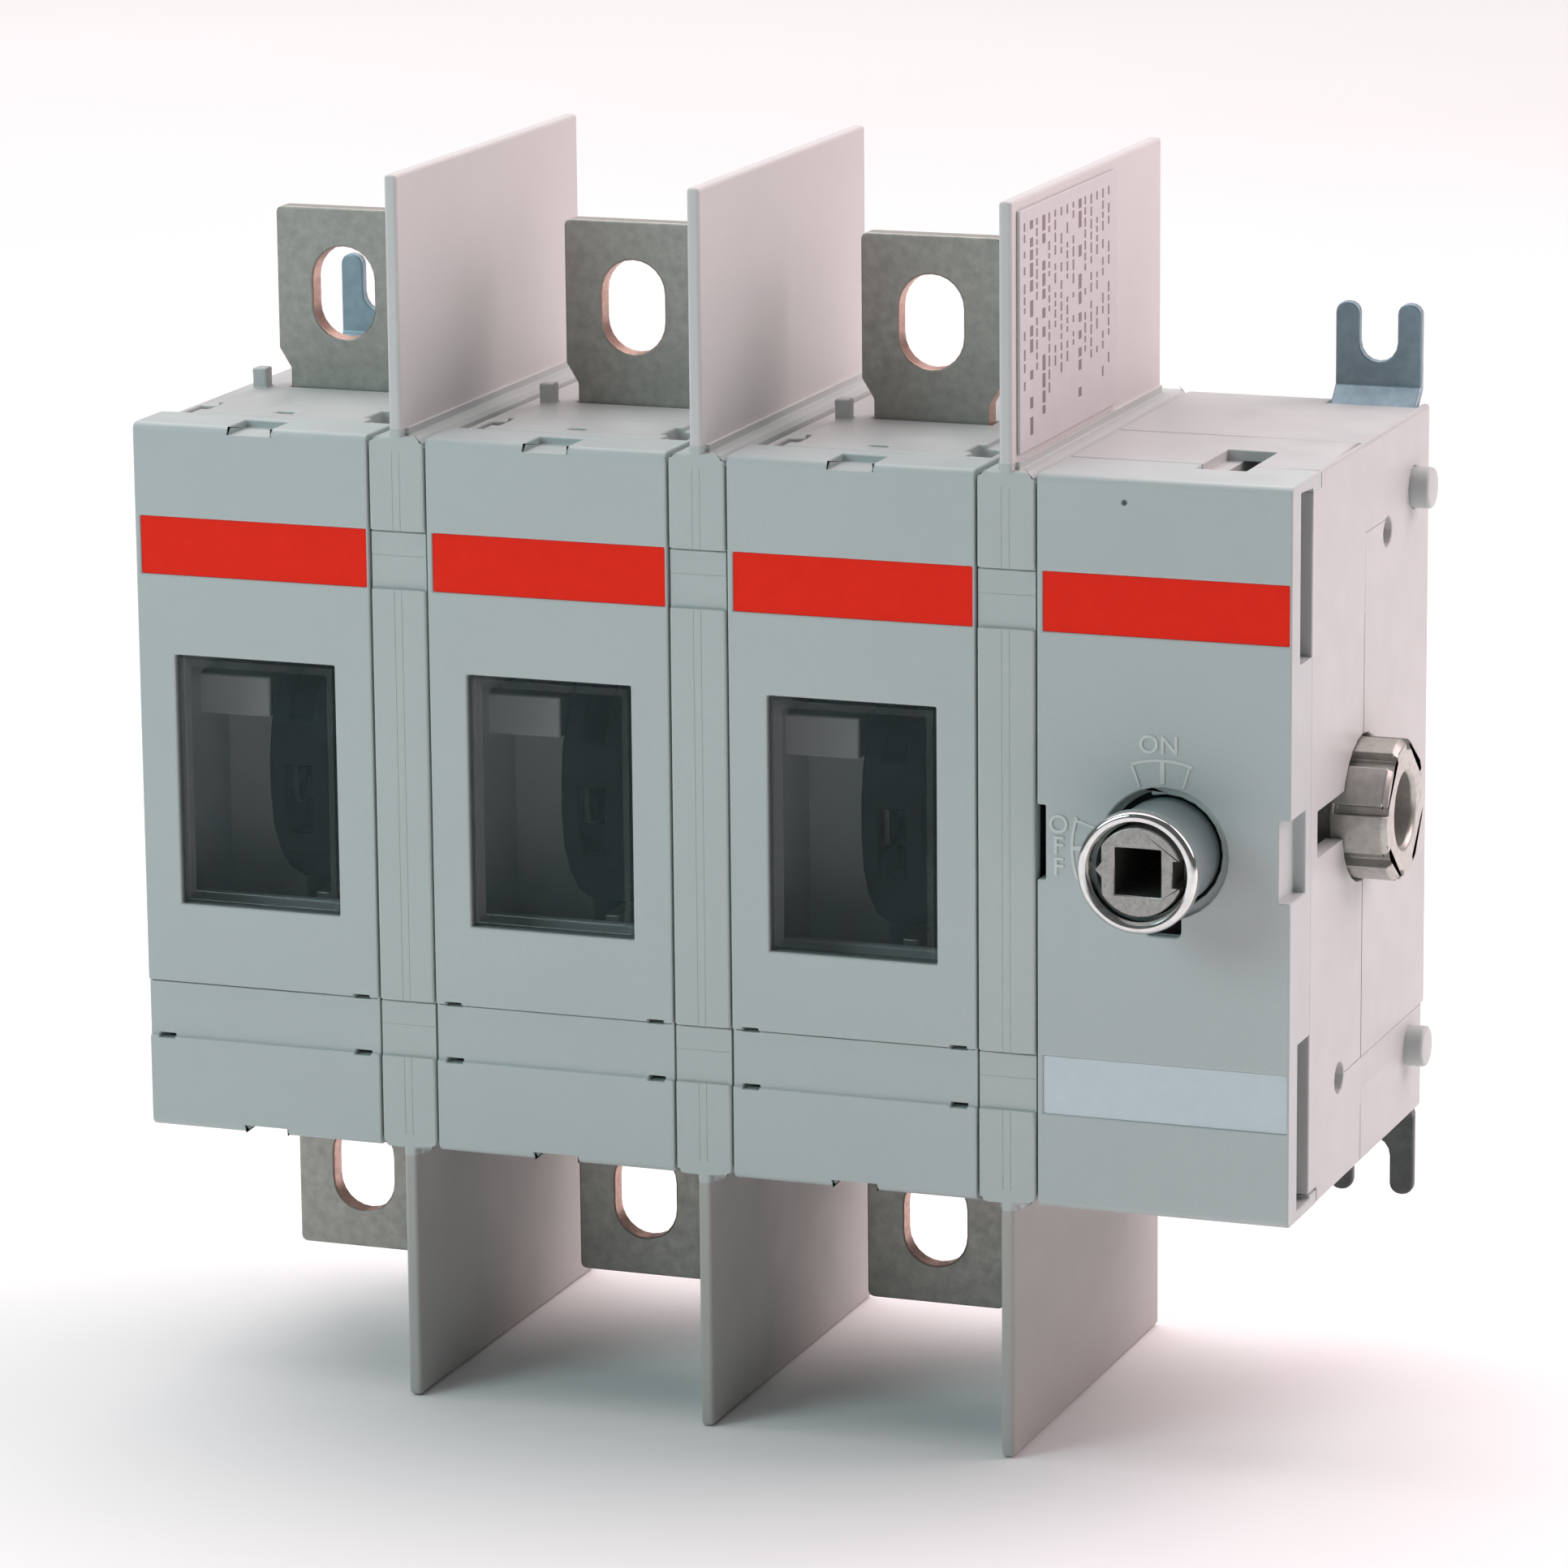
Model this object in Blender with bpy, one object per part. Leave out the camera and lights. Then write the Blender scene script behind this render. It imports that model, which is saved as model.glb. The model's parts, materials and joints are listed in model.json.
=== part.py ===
"""Three-pole rotary switch-disconnector with a mechanism module on its right side.

Every separate piece is one object. Lengths in this script are in millimetres, and the helpers that
make meshes and place objects turn them into metres. X runs along the row of modules, Y runs into the
depth (the front faces -Y and the mounting panel is at Y = 0), and Z is up. The origin is the middle of
the row, on the mounting plane, at mid height.
"""

import math

import bmesh
import bpy
from mathutils import Matrix, Vector

MM = 0.001

# Row of modules
POLE_PITCH = 44.0
MODULE_WIDTH = 35.3
HEIGHT = 100.9
FRONT_Y = -69.0
BACK_Y = -1.5
AXIS_Y = -34.0
GAP = 0.3
POLE_NAMES = ("a", "b", "c")
POLE_X = (-1.5 * POLE_PITCH, -0.5 * POLE_PITCH, 0.5 * POLE_PITCH)
MECHANISM_X = 1.5 * POLE_PITCH
SPACER_X = (-POLE_PITCH, 0.0, POLE_PITCH)
HALF_WIDTH = MODULE_WIDTH / 2
HALF_HEIGHT = HEIGHT / 2
BEYOND = 2.0  # how far a cutter runs past the face that it opens

# Covers
COVER_WALL = 2.0
COVER_FRONT_WALL = 2.2
COVER_DEPTH = 9.5
MECHANISM_COVER_DEPTH = 13.3
MARKER_BAND = (29.15, 37.35)
LOWER_BAND = (-37.3, -29.2)
MARKER_DEPTH = 0.9
MARKER_LEFT = -HALF_WIDTH + 0.8
MARKER_RIGHT = HALF_WIDTH - 0.3
BAND_DEPTH = 0.5
LABEL_THICKNESS = 0.4
MARKING_LABEL_INSET = 1.1
RATING_LABEL_Y = (2.0, 44.0)  # behind the front face
RATING_LABEL_Z = (2.0, 34.5)  # above the modules
WINDOW_HALF = (12.1, 17.85)
WINDOW_FLANGE = 1.4
LENS_SETBACK = 0.4
LENS_RIM = 1.7
LENS_FIELD_DEPTH = 1.0
LENS_FLANGE_THICKNESS = 1.2
CLIP_NOTCH_HALF_WIDTH = 3.2
CLIP_NOTCH_HEIGHT = 1.1
CLIP_NOTCH_DEPTH = 6.5

# Openings of the mechanism's cover, with depths measured from the front face
SIDE_SLOT_DEPTH = 4.0
SIDE_SLOT_Z = (26.0, HALF_HEIGHT - 1.5)
LOWER_SLOT_Z = (-HALF_HEIGHT + 1.5, -25.8)
RIGHT_NOTCH_WIDTH = 1.6
RIGHT_NOTCH_DEPTH = 7.0
RIGHT_NOTCH_Z = (-5.6, 5.6)
LEFT_NOTCH_WIDTH = 1.2
LEFT_NOTCH_DEPTH = 6.0
LEFT_NOTCH_Z = (-4.8, 5.5)
KEY_SLOT_HALF_WIDTH = 2.5
KEY_SLOT_CORNER = 0.8
KEY_SLOT_Z = -8.9
LUG_SLOT_ANGLES = (105, 172)
TOP_POCKET_X = (1.2, 8.2)
TOP_POCKET_START = 10.0
TOP_POCKET_END = 25.0
TOP_POCKET_DEPTH = 1.6
TOP_POCKET_HOLE_X = (3.2, 6.8)
TOP_POCKET_HOLE_END = 18.0

# Pole bases
BASE_INSET = 1.0
BASE_WALL = 2.8
BASE_TOP_WALL = 3.5
BASE_BACK_WALL = 2.0
BASE_LIP = 3.0
RAIL_WIDTH = 3.5
RAIL_DROP = 0.6
POST_X = (-13.2, -11.1)
POST_Y = (AXIS_Y - 4.2, AXIS_Y - 2.0)
POST_HEIGHT = 2.9
LEDGE_END_X = -3.2
LEDGE_Y = (FRONT_Y + 12.0, FRONT_Y + 23.5)
LEDGE_Z = (7.0, 12.8)
SHIELD_END_X = -2.2
SHIELD_Y = (FRONT_Y + 21.0, FRONT_Y + 23.0)
SHIELD_Z = (-40.0, 7.5)
BAFFLE_Y = (FRONT_Y + 10.5, FRONT_Y + 12.3)
BAFFLE_TOP_Z = -18.6
SIDE_POCKET_X = (12.0, 15.6)
SIDE_POCKET_Y = (3.0, 9.0)  # behind the cover
SIDE_POCKET_DEPTH = 3.0
MIDDLE_POCKET_X = (-1.7, 0.8)
MIDDLE_POCKET_Y = (2.8, 4.8)  # behind the cover
MIDDLE_POCKET_DEPTH = 2.5

# Mechanism housing
HOUSING_WALL = 2.5
HOLE_WALL = 6.0
INDEX_WINDOW_Z = (-2.3, 4.2)
INDEX_RAMP_Y = (FRONT_Y + 12.6, FRONT_Y + 17.6)
INDEX_RAMP_DEPTH = 1.7
INDEX_RAMP_END_Y = AXIS_Y - 5.0
INDEX_WINDOW_END_Y = AXIS_Y - 7.0
ROUND_HOLE_DEPTH = 1.5
LOWER_ROUND_HOLE = (-44.8, -35.6)
LOWER_ROUND_HOLE_RADIUS = 2.2
UPPER_ROUND_HOLE = (-22.7, 36.2)
UPPER_ROUND_HOLE_RADIUS = 2.15
BACK_STEP_TOP_Z = -35.5
BACK_STEP_DEPTH = 1.2
SIDE_STEP_DEPTH = 0.4

# Phase barriers
SPACER_WIDTH = POLE_PITCH - MODULE_WIDTH - 2 * GAP
SPACER_BACK_Y = 0.0
SPACER_CORNER = 1.5
SPACER_RIM = 2.4
BARRIER_THICKNESS = 1.86
BARRIER_HALF_HEIGHT = 86.5
BARRIER_BACK_Y = -3.0
HUB_BOSS_RADIUS = 12.0
PIN_BOSS_RADIUS = 5.0

# Terminals
TERMINAL_WIDTH = 20.4
TERMINAL_THICKNESS = 3.0
TERMINAL_TIP_Z = 76.3
TERMINAL_CORNER = 0.9
NECK_WIDTH = 16.9
SHOULDER_Z = (53.15, 55.95)
NECK_END_Z = 33.5
BOLT_SLOT_WIDTH = 9.44
BOLT_SLOT_LENGTH = 13.25
BOLT_SLOT_Z = 64.25
CONTACT_X = 3.4
TONGUE_THICKNESS = 2.4
TONGUE_HALF_DEPTH = 4.5
TONGUE_REACH = (18.2, 26.4)  # its share of the contact's radius
TONGUE_ARM = (18.0, 21.0)  # distance of its arm behind the shaft
TONGUE_BAR = 2.2

# Arc chutes, from the shaft's axis
CHUTE_STRIP_X = (12.0, 13.2)
CHUTE_STRIP_Y = (-21.0, -6.5)
CHUTE_STRIP_Z = (30.8, 45.5)
CHUTE_PLATES = 5
CHUTE_PLATE_HALF_WIDTH = 12.6
CHUTE_PLATE_THICKNESS = 1.0
CHUTE_PLATE_START = -20.5
CHUTE_PLATE_PITCH = 3.2
CHUTE_PLATE_Z = (31.6, 44.8)

# Rotor and moving contact, from the shaft's axis
ROTOR_WIDTH = 9.0
ROTOR_REACH = 28.5
ROTOR_HALF_HEIGHT = 17.5
ROTOR_CORNER = 15.0
ROTOR_HUB_RADIUS = 8.3
ROTOR_HUB_HALF_LENGTH = 17.4
HUB_HOLE_RADIUS = 8.6
BLADE_INNER_GAP = 2.8
BLADE_THICKNESS = 1.4
BLADE_REACH = 25.7
BLADE_HALF_HEIGHT = 4.5
BLADE_HUB_RADIUS = 8.5
ENTRY_WIDTH = 3.2
ENTRY_START = 17.8
ENTRY_END = 27.2
VENT_WIDTH = 3.7
VENT_Z = (-8.4, 1.5)
VENT_END = 21.0

# Shafts and gears
SHAFT_SQUARE = 8.0
SHAFT_BORE_SQUARE = 8.6
SHAFT_START_X = -80.0
SHAFT_END_X = 80.0
GEAR_TEETH = 16
GEAR_HEEL_RADIUS = 11.0
GEAR_TOE_RADIUS = 7.4
GEAR_ADDENDUM = 0.75
GEAR_DEDENDUM = 1.0
GEAR_HUB_RADIUS = 8.0
GEAR_HUB_LENGTH = 3.0
TOOTH_ROOT_HALF = 0.30  # half widths of a tooth, as shares of the pitch
TOOTH_TIP_HALF = 0.11
COUPLING_RADIUS = 9.8
COUPLING_ROOT_RADIUS = 6.9
COUPLING_BORE_RADIUS = 5.1
COUPLING_FACE_X = 89.65
COUPLING_GROOVES = 8
COUPLING_GROOVE_HALF = 1.35
COUPLING_INDEX_HALF = 0.7
COUPLING_INDEX_GROOVE = 2
COUPLING_FIRST_ANGLE = 80
COUPLING_HUB_RADIUS = 9.0
COUPLING_HUB_X = 77.0
COUPLING_HOLE_RADIUS = 10.2

# Front drive, along -Y from the mechanism
RING_FACE_Y = -81.0
RING_THICKNESS = 2.4
RING_RADIUS = 8.3
RING_BORE_RADIUS = 6.7
SLEEVE_RADIUS = 7.3
SLEEVE_BORE_RADIUS = 6.4
SLEEVE_END_Y = -61.0
SLEEVE_FLANGE_REACH = 2.2
SLEEVE_FLANGE_THICKNESS = 3.0
SOCKET_FACE_Y = -80.2
SOCKET_RADIUS = 6.1
SOCKET_SQUARE = 6.4
SOCKET_HOLE_DEPTH = 26.0
SOCKET_END_Y = -51.0
TENON_SQUARE = 7.0
TENON_END_Y = -42.5
DRIVE_HOLE_RADIUS = 7.8
DRIVE_RECESS_RADIUS = 9.0
DRIVE_RECESS_DEPTH = 1.4

# Snap spring, round the front drive
SPRING_TURNS = 3.75
SPRING_STEPS = 12
SPRING_SIDES = 5
SPRING_RADIUS = 8.2
SPRING_WIRE_RADIUS = 0.7
SPRING_START_Y = -59.3
SPRING_PITCH = 2.0

# Tie pins and mounting feet
PIN_RADIUS = 2.7
PIN_HOLE_RADIUS = 3.0
PIN_Y = -9.0
PIN_Z = 40.0
PIN_START_X = -82.0
PIN_END_X = 86.35
LEFT_FOOT_X = -75.2
RIGHT_FOOT_X = 76.15
FOOT_WIDTH = 12.4
FOOT_THICKNESS = 1.5
FOOT_TIP_Z = 64.3
FOOT_SLOT_WIDTH = 5.45
FOOT_SLOT_END_Z = 56.0
FOOT_BEND_Z = 52.7
FOOT_JOG = 3.4
FOOT_END_Z = 34.0
FOOT_TIP_CORNER = 1.6

SIDES = {"X": (1, 2), "Y": (0, 2), "Z": (0, 1)}


# ---------------------------------------------------------------- scene and materials


def clear_scene():
    for item in list(bpy.data.objects):
        bpy.data.objects.remove(item, do_unlink=True)


def material(name, colour, roughness, metallic=0.0, alpha=1.0):
    found = bpy.data.materials.new(name)
    found.use_nodes = True
    shader = found.node_tree.nodes["Principled BSDF"]
    shader.inputs["Base Color"].default_value = (*colour, 1.0)
    shader.inputs["Roughness"].default_value = roughness
    shader.inputs["Metallic"].default_value = metallic
    shader.inputs["Alpha"].default_value = alpha
    found.diffuse_color = (*colour, alpha)
    return found


def make_materials():
    return {
        "cover": material("cover_plastic", (0.42, 0.48, 0.46), 0.45),
        "base": material("base_plastic", (0.46, 0.48, 0.46), 0.45),
        "barrier": material("barrier_plastic", (0.47, 0.50, 0.48), 0.4),
        "sleeve": material("sleeve_plastic", (0.38, 0.45, 0.45), 0.4),
        "lens": material("smoky_lens", (0.16, 0.18, 0.18), 0.08, alpha=0.45),
        "red": material("red_label", (0.76, 0.03, 0.012), 0.4),
        "white": material("white_label", (0.72, 0.76, 0.80), 0.5),
        "copper": material("tinned_copper", (0.50, 0.47, 0.44), 0.38, 0.9),
        "contact": material("silvered_copper", (0.72, 0.66, 0.60), 0.3, 1.0),
        "rotor": material("dark_plastic", (0.035, 0.042, 0.042), 0.4),
        "chute": material("arc_chute", (0.20, 0.19, 0.18), 0.55),
        "chrome": material("chromed_steel", (0.78, 0.78, 0.76), 0.12, 1.0),
        "socket": material("drive_socket_metal", (0.42, 0.41, 0.39), 0.35, 1.0),
        "steel": material("gear_steel", (0.40, 0.40, 0.41), 0.35, 1.0),
        "coupling": material("cast_coupling", (0.48, 0.47, 0.45), 0.3, 1.0),
        "zinc": material("zinc_plate", (0.52, 0.62, 0.66), 0.28, 1.0),
        "spring": material("spring_steel", (0.30, 0.30, 0.32), 0.35, 1.0),
    }


# ---------------------------------------------------------------- closed shapes, in millimetres


def closed_mesh(shape):
    """Turns a bmesh in millimetres into a mesh in metres, with its faces pointing out."""
    bmesh.ops.recalc_face_normals(shape, faces=shape.faces)
    bmesh.ops.scale(shape, vec=(MM, MM, MM), verts=shape.verts)
    mesh = bpy.data.meshes.new("shape")
    shape.to_mesh(mesh)
    shape.free()
    return mesh


def prism(axis, outline, start, end):
    """Extrudes an outline along an axis. Its points are in the two other axes, in X, Y, Z order."""
    first, second = SIDES[axis]
    along = 3 - first - second
    shape = bmesh.new()
    ends = []
    for level in (start, end):
        ring = []
        for a, b in outline:
            point = [0.0, 0.0, 0.0]
            point[first] = a
            point[second] = b
            point[along] = level
            ring.append(shape.verts.new(point))
        shape.faces.new(ring)
        ends.append(ring)
    for i in range(len(outline)):
        j = (i + 1) % len(outline)
        shape.faces.new((ends[0][i], ends[0][j], ends[1][j], ends[1][i]))
    return closed_mesh(shape)


def block(x, y, z):
    """A box between two limits on each axis."""
    return prism("Z", [(x[0], y[0]), (x[1], y[0]), (x[1], y[1]), (x[0], y[1])], z[0], z[1])


def arc(centre, radius, start, end, steps):
    """Points on an arc, with its angles in degrees."""
    points = []
    for i in range(steps + 1):
        angle = math.radians(start + (end - start) * i / steps)
        points.append((centre[0] + radius * math.cos(angle), centre[1] + radius * math.sin(angle)))
    return points


def circle(centre, radius, sides):
    return arc(centre, radius, 0, 360, sides)[:-1]


def rounded_rectangle(half_width, half_height, radius, steps=4, centre=(0.0, 0.0)):
    points = []
    for quarter, (sign_a, sign_b) in enumerate(((1, 1), (-1, 1), (-1, -1), (1, -1))):
        corner = (
            centre[0] + sign_a * (half_width - radius),
            centre[1] + sign_b * (half_height - radius),
        )
        points += arc(corner, radius, 90 * quarter, 90 * quarter + 90, steps)
    return points


def rod(axis, centre, radius, start, end, sides=24):
    return prism(axis, circle(centre, radius, sides), start, end)


def square_bar(axis, centre, width, start, end):
    half = width / 2
    a, b = centre
    corners = [(a - half, b - half), (a + half, b - half), (a + half, b + half), (a - half, b + half)]
    return prism(axis, corners, start, end)


def combined(meshes, operation, target):
    """Runs one exact Boolean between a mesh and all the closed shapes in a list."""
    body = bpy.data.objects.new("body", target)
    joined = bmesh.new()
    for mesh in meshes:
        joined.from_mesh(mesh)
    tool_mesh = bpy.data.meshes.new("tool")
    joined.to_mesh(tool_mesh)
    joined.free()
    tool = bpy.data.objects.new("tool", tool_mesh)
    for item in (body, tool):
        bpy.context.scene.collection.objects.link(item)
    boolean = body.modifiers.new(operation, "BOOLEAN")
    boolean.operation = operation
    boolean.solver = "EXACT"
    boolean.use_self = len(meshes) > 1
    boolean.object = tool
    graph = bpy.context.evaluated_depsgraph_get()
    result = bpy.data.meshes.new_from_object(body.evaluated_get(graph))
    for item in (body, tool):
        bpy.data.objects.remove(item, do_unlink=True)
    return result


def carved(base, joined=(), cut=(), joined_after=()):
    """A base shape with others joined to it, then cut from it, then joined again."""
    mesh = base
    for meshes, operation in ((joined, "UNION"), (cut, "DIFFERENCE"), (joined_after, "UNION")):
        if meshes:
            mesh = combined(meshes, operation, mesh)
    return mesh


def turned_over(mesh):
    """The shape turned half a turn about the X axis through its origin."""
    copy = mesh.copy()
    copy.transform(Matrix.Rotation(math.pi, 4, "X"))
    return copy


def smooth(mesh, sharp_angle=35.0):
    mesh.shade_smooth()
    mesh.set_sharp_from_angle(angle=math.radians(sharp_angle))
    return mesh


# ---------------------------------------------------------------- objects


def pivot(name, x, y, z):
    """An empty on a joint's axis, which carries the pieces that turn about it."""
    found = bpy.data.objects.new(name, None)
    found.location = Vector((x, y, z)) * MM
    bpy.context.scene.collection.objects.link(found)
    return found


def place(name, mesh, look, x=0.0, y=0.0, z=0.0, parent=None, turn_z=0.0):
    item = bpy.data.objects.new(name, mesh.copy())
    item.data.name = name
    item.data.materials.clear()
    item.data.materials.append(look)
    item.location = Vector((x, y, z)) * MM
    item.rotation_euler.z = turn_z
    item.parent = parent
    bpy.context.scene.collection.objects.link(item)
    return item


# ---------------------------------------------------------------- covers, lens and labels


def front_band(band, depth, left=-HALF_WIDTH - BEYOND, right=HALF_WIDTH + BEYOND):
    """Cutter for a shallow band across a front face."""
    return block((left, right), (FRONT_Y - BEYOND, FRONT_Y + depth), band)


def clip_notches():
    """Cutters for the shallow notches in the middle of the top and bottom edges."""
    low = HALF_HEIGHT - CLIP_NOTCH_HEIGHT
    high = HALF_HEIGHT + BEYOND
    width = (-CLIP_NOTCH_HALF_WIDTH, CLIP_NOTCH_HALF_WIDTH)
    depth = (FRONT_Y - BEYOND, FRONT_Y + CLIP_NOTCH_DEPTH)
    return [block(width, depth, (low, high)), block(width, depth, (-high, -low))]


def cover_shell(depth):
    """Cutter for the hollow of a cover."""
    half_width = HALF_WIDTH - COVER_WALL
    half_height = HALF_HEIGHT - COVER_WALL
    return block(
        (-half_width, half_width),
        (FRONT_Y + COVER_FRONT_WALL, FRONT_Y + depth + BEYOND),
        (-half_height, half_height),
    )


def cover_block(depth):
    return block(
        (-HALF_WIDTH, HALF_WIDTH), (FRONT_Y, FRONT_Y + depth), (-HALF_HEIGHT, HALF_HEIGHT)
    )


def pole_cover():
    half_x, half_z = WINDOW_HALF
    window = block(
        (-half_x, half_x), (FRONT_Y - BEYOND, FRONT_Y + COVER_DEPTH), (-half_z, half_z)
    )
    bands = [
        front_band(MARKER_BAND, MARKER_DEPTH, MARKER_LEFT, MARKER_RIGHT),
        front_band(LOWER_BAND, BAND_DEPTH),
    ]
    cuts = [cover_shell(COVER_DEPTH), window, *bands, *clip_notches()]
    return carved(cover_block(COVER_DEPTH), cut=cuts)


def window_lens():
    """A stepped lens: its rim stands in the cover's opening and its flange sits behind the wall."""
    half_x = WINDOW_HALF[0] - GAP
    half_z = WINDOW_HALF[1] - GAP
    front = FRONT_Y + LENS_SETBACK
    back = FRONT_Y + COVER_FRONT_WALL + GAP
    body = block((-half_x, half_x), (front, back + 1.0), (-half_z, half_z))
    flange_x = WINDOW_HALF[0] + WINDOW_FLANGE
    flange_z = WINDOW_HALF[1] + WINDOW_FLANGE
    flange = block((-flange_x, flange_x), (back, back + LENS_FLANGE_THICKNESS), (-flange_z, flange_z))
    field_x = half_x - LENS_RIM
    field_z = half_z - LENS_RIM
    field = block((-field_x, field_x), (front - BEYOND, front + LENS_FIELD_DEPTH), (-field_z, field_z))
    return carved(body, joined=[flange], cut=[field])


def marker_strip():
    """The red strip that lies in the upper band."""
    face = FRONT_Y + MARKER_DEPTH - GAP - LABEL_THICKNESS
    return block(
        (MARKER_LEFT + GAP, MARKER_RIGHT - GAP),
        (face, face + LABEL_THICKNESS),
        (MARKER_BAND[0] + GAP, MARKER_BAND[1] - GAP),
    )


def marking_label():
    """The white label in the mechanism's lower band."""
    face = FRONT_Y + MARKER_DEPTH - GAP - LABEL_THICKNESS
    return block(
        (-HALF_WIDTH + MARKING_LABEL_INSET, HALF_WIDTH - MARKING_LABEL_INSET),
        (face, face + LABEL_THICKNESS),
        (LOWER_BAND[0] + GAP, LOWER_BAND[1] - GAP),
    )


def side_openings():
    """Cutters for the trims, slots and notches at the sides of the mechanism's cover."""
    skirt_end = FRONT_Y + COVER_DEPTH - GAP
    inside = (-HALF_HEIGHT + COVER_WALL, HALF_HEIGHT - COVER_WALL)
    cutters = []
    for side in (-1, 1):
        wall = sorted((side * (HALF_WIDTH - COVER_WALL - 0.1), side * (HALF_WIDTH + BEYOND)))
        cutters.append(block(wall, (skirt_end, FRONT_Y + MECHANISM_COVER_DEPTH + BEYOND), inside))
    right = (HALF_WIDTH - COVER_WALL - 0.2, HALF_WIDTH + BEYOND)
    for slot_z in (SIDE_SLOT_Z, LOWER_SLOT_Z):
        cutters.append(block(right, (FRONT_Y + SIDE_SLOT_DEPTH, skirt_end + 1), slot_z))
    right_notch = (HALF_WIDTH - RIGHT_NOTCH_WIDTH, HALF_WIDTH + BEYOND)
    cutters.append(block(right_notch, (FRONT_Y - BEYOND, FRONT_Y + RIGHT_NOTCH_DEPTH), RIGHT_NOTCH_Z))
    left_notch = (-HALF_WIDTH - BEYOND, -HALF_WIDTH + LEFT_NOTCH_WIDTH)
    cutters.append(block(left_notch, (FRONT_Y - BEYOND, FRONT_Y + LEFT_NOTCH_DEPTH), LEFT_NOTCH_Z))
    return cutters


def drive_openings():
    """Cutters for the drive's hole, its recess, the key slot below it and the lug slot round it."""
    through = (FRONT_Y - BEYOND, FRONT_Y + COVER_FRONT_WALL + BEYOND)
    hole = rod("Y", (0, 0), DRIVE_HOLE_RADIUS, *through)
    half = KEY_SLOT_HALF_WIDTH
    key_slot = prism("Y", rounded_rectangle(half, half, KEY_SLOT_CORNER, centre=(0, KEY_SLOT_Z)), *through)
    recess_depth = (FRONT_Y - BEYOND, FRONT_Y + DRIVE_RECESS_DEPTH)
    recess = rod("Y", (0, 0), DRIVE_RECESS_RADIUS, *recess_depth, 32)
    first, last = LUG_SLOT_ANGLES
    outline = arc((0, 0), DRIVE_RECESS_RADIUS - 0.1, first, last, 8)
    outline += arc((0, 0), DRIVE_HOLE_RADIUS - 0.5, last, first, 8)
    return [hole, key_slot, recess, prism("Y", outline, *through)]


def mechanism_cover():
    above = HALF_HEIGHT + BEYOND
    pocket_y = (FRONT_Y + TOP_POCKET_START, FRONT_Y + MECHANISM_COVER_DEPTH + BEYOND)
    top_pocket = block(TOP_POCKET_X, pocket_y, (HALF_HEIGHT - COVER_WALL - BEYOND, above))
    bands = [front_band(band, MARKER_DEPTH, MARKER_LEFT, MARKER_RIGHT) for band in (MARKER_BAND, LOWER_BAND)]
    cuts = [cover_shell(MECHANISM_COVER_DEPTH), *side_openings(), *drive_openings(), top_pocket, *bands]
    return carved(cover_block(MECHANISM_COVER_DEPTH), cut=cuts)


# ---------------------------------------------------------------- pole base


def both_ways(x, y, z):
    """A box and its mirror image in Z."""
    return [block(x, y, z), block(x, y, (-z[1], -z[0]))]


def foot_sockets(x):
    """Cutters for the pockets, above and below, that a mounting foot's leg goes into."""
    half = FOOT_WIDTH / 2 + GAP
    leg = (BACK_Y - FOOT_JOG - GAP, BACK_Y - FOOT_JOG + FOOT_THICKNESS + GAP)
    width = (x - half, x + half)
    cuts = both_ways(width, leg, (FOOT_END_Z - GAP, HALF_HEIGHT + BEYOND))
    cuts += both_ways(width, (leg[0], BACK_Y + BEYOND), (FOOT_BEND_Z - 5.5, HALF_HEIGHT + BEYOND))
    return cuts


def foot_pads(x, half_height):
    """The thicker wall inside a housing that a foot's pocket is cut into."""
    half = FOOT_WIDTH / 2 + 2.0
    limit = HALF_WIDTH - 2 * BASE_INSET
    width = (max(x - half, -limit), min(x + half, limit))
    inside = BACK_Y - FOOT_JOG - 2.5
    return both_ways(width, (inside, BACK_Y - 1), (FOOT_END_Z - 3, half_height - 1))


def base_shell(front, inner_x, inner_z):
    """The open box of a pole base, with the lip that the cover fits over."""
    half_width = HALF_WIDTH - BASE_INSET
    lip_x = HALF_WIDTH - COVER_WALL - GAP
    lip_z = HALF_HEIGHT - COVER_WALL - GAP
    outer = block((-half_width, half_width), (front, BACK_Y), (-HALF_HEIGHT, HALF_HEIGHT))
    lip = block((-lip_x, lip_x), (front - BASE_LIP, front + 1), (-lip_z, lip_z))
    depth = (front - BASE_LIP - BEYOND, BACK_Y - BASE_BACK_WALL)
    hollow = block((-inner_x, inner_x), depth, (-inner_z, inner_z))
    return carved(outer, joined=[lip], cut=[hollow])


def base_inner_walls(inner_x, inner_z):
    """The ledge and the shield beside the rotor, and the baffle below the window."""
    left = -inner_x - 1
    ledge = block((left, LEDGE_END_X), LEDGE_Y, LEDGE_Z)
    shield = block((left, SHIELD_END_X), SHIELD_Y, SHIELD_Z)
    baffle = block((left, inner_x + 1), BAFFLE_Y, (-inner_z - 1, BAFFLE_TOP_Z))
    return [ledge, shield, baffle]


def base_top_cutters(front):
    """Cutters for the side rails and the small pockets on a base's top and bottom."""
    above = HALF_HEIGHT + BEYOND
    half_width = HALF_WIDTH - BASE_INSET
    cutters = []
    for side in (-1, 1):
        rail = sorted((side * (half_width - RAIL_WIDTH), side * (half_width + BEYOND)))
        cutters += both_ways(rail, (front - 1, BACK_Y + BEYOND), (HALF_HEIGHT - RAIL_DROP, above))
    for side in (-1, 1):
        width = sorted(side * edge for edge in SIDE_POCKET_X)
        depth = [front + level for level in SIDE_POCKET_Y]
        cutters += both_ways(width, depth, (HALF_HEIGHT - SIDE_POCKET_DEPTH, above))
    depth = [front + level for level in MIDDLE_POCKET_Y]
    cutters += both_ways(MIDDLE_POCKET_X, depth, (HALF_HEIGHT - MIDDLE_POCKET_DEPTH, above))
    return cutters


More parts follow.
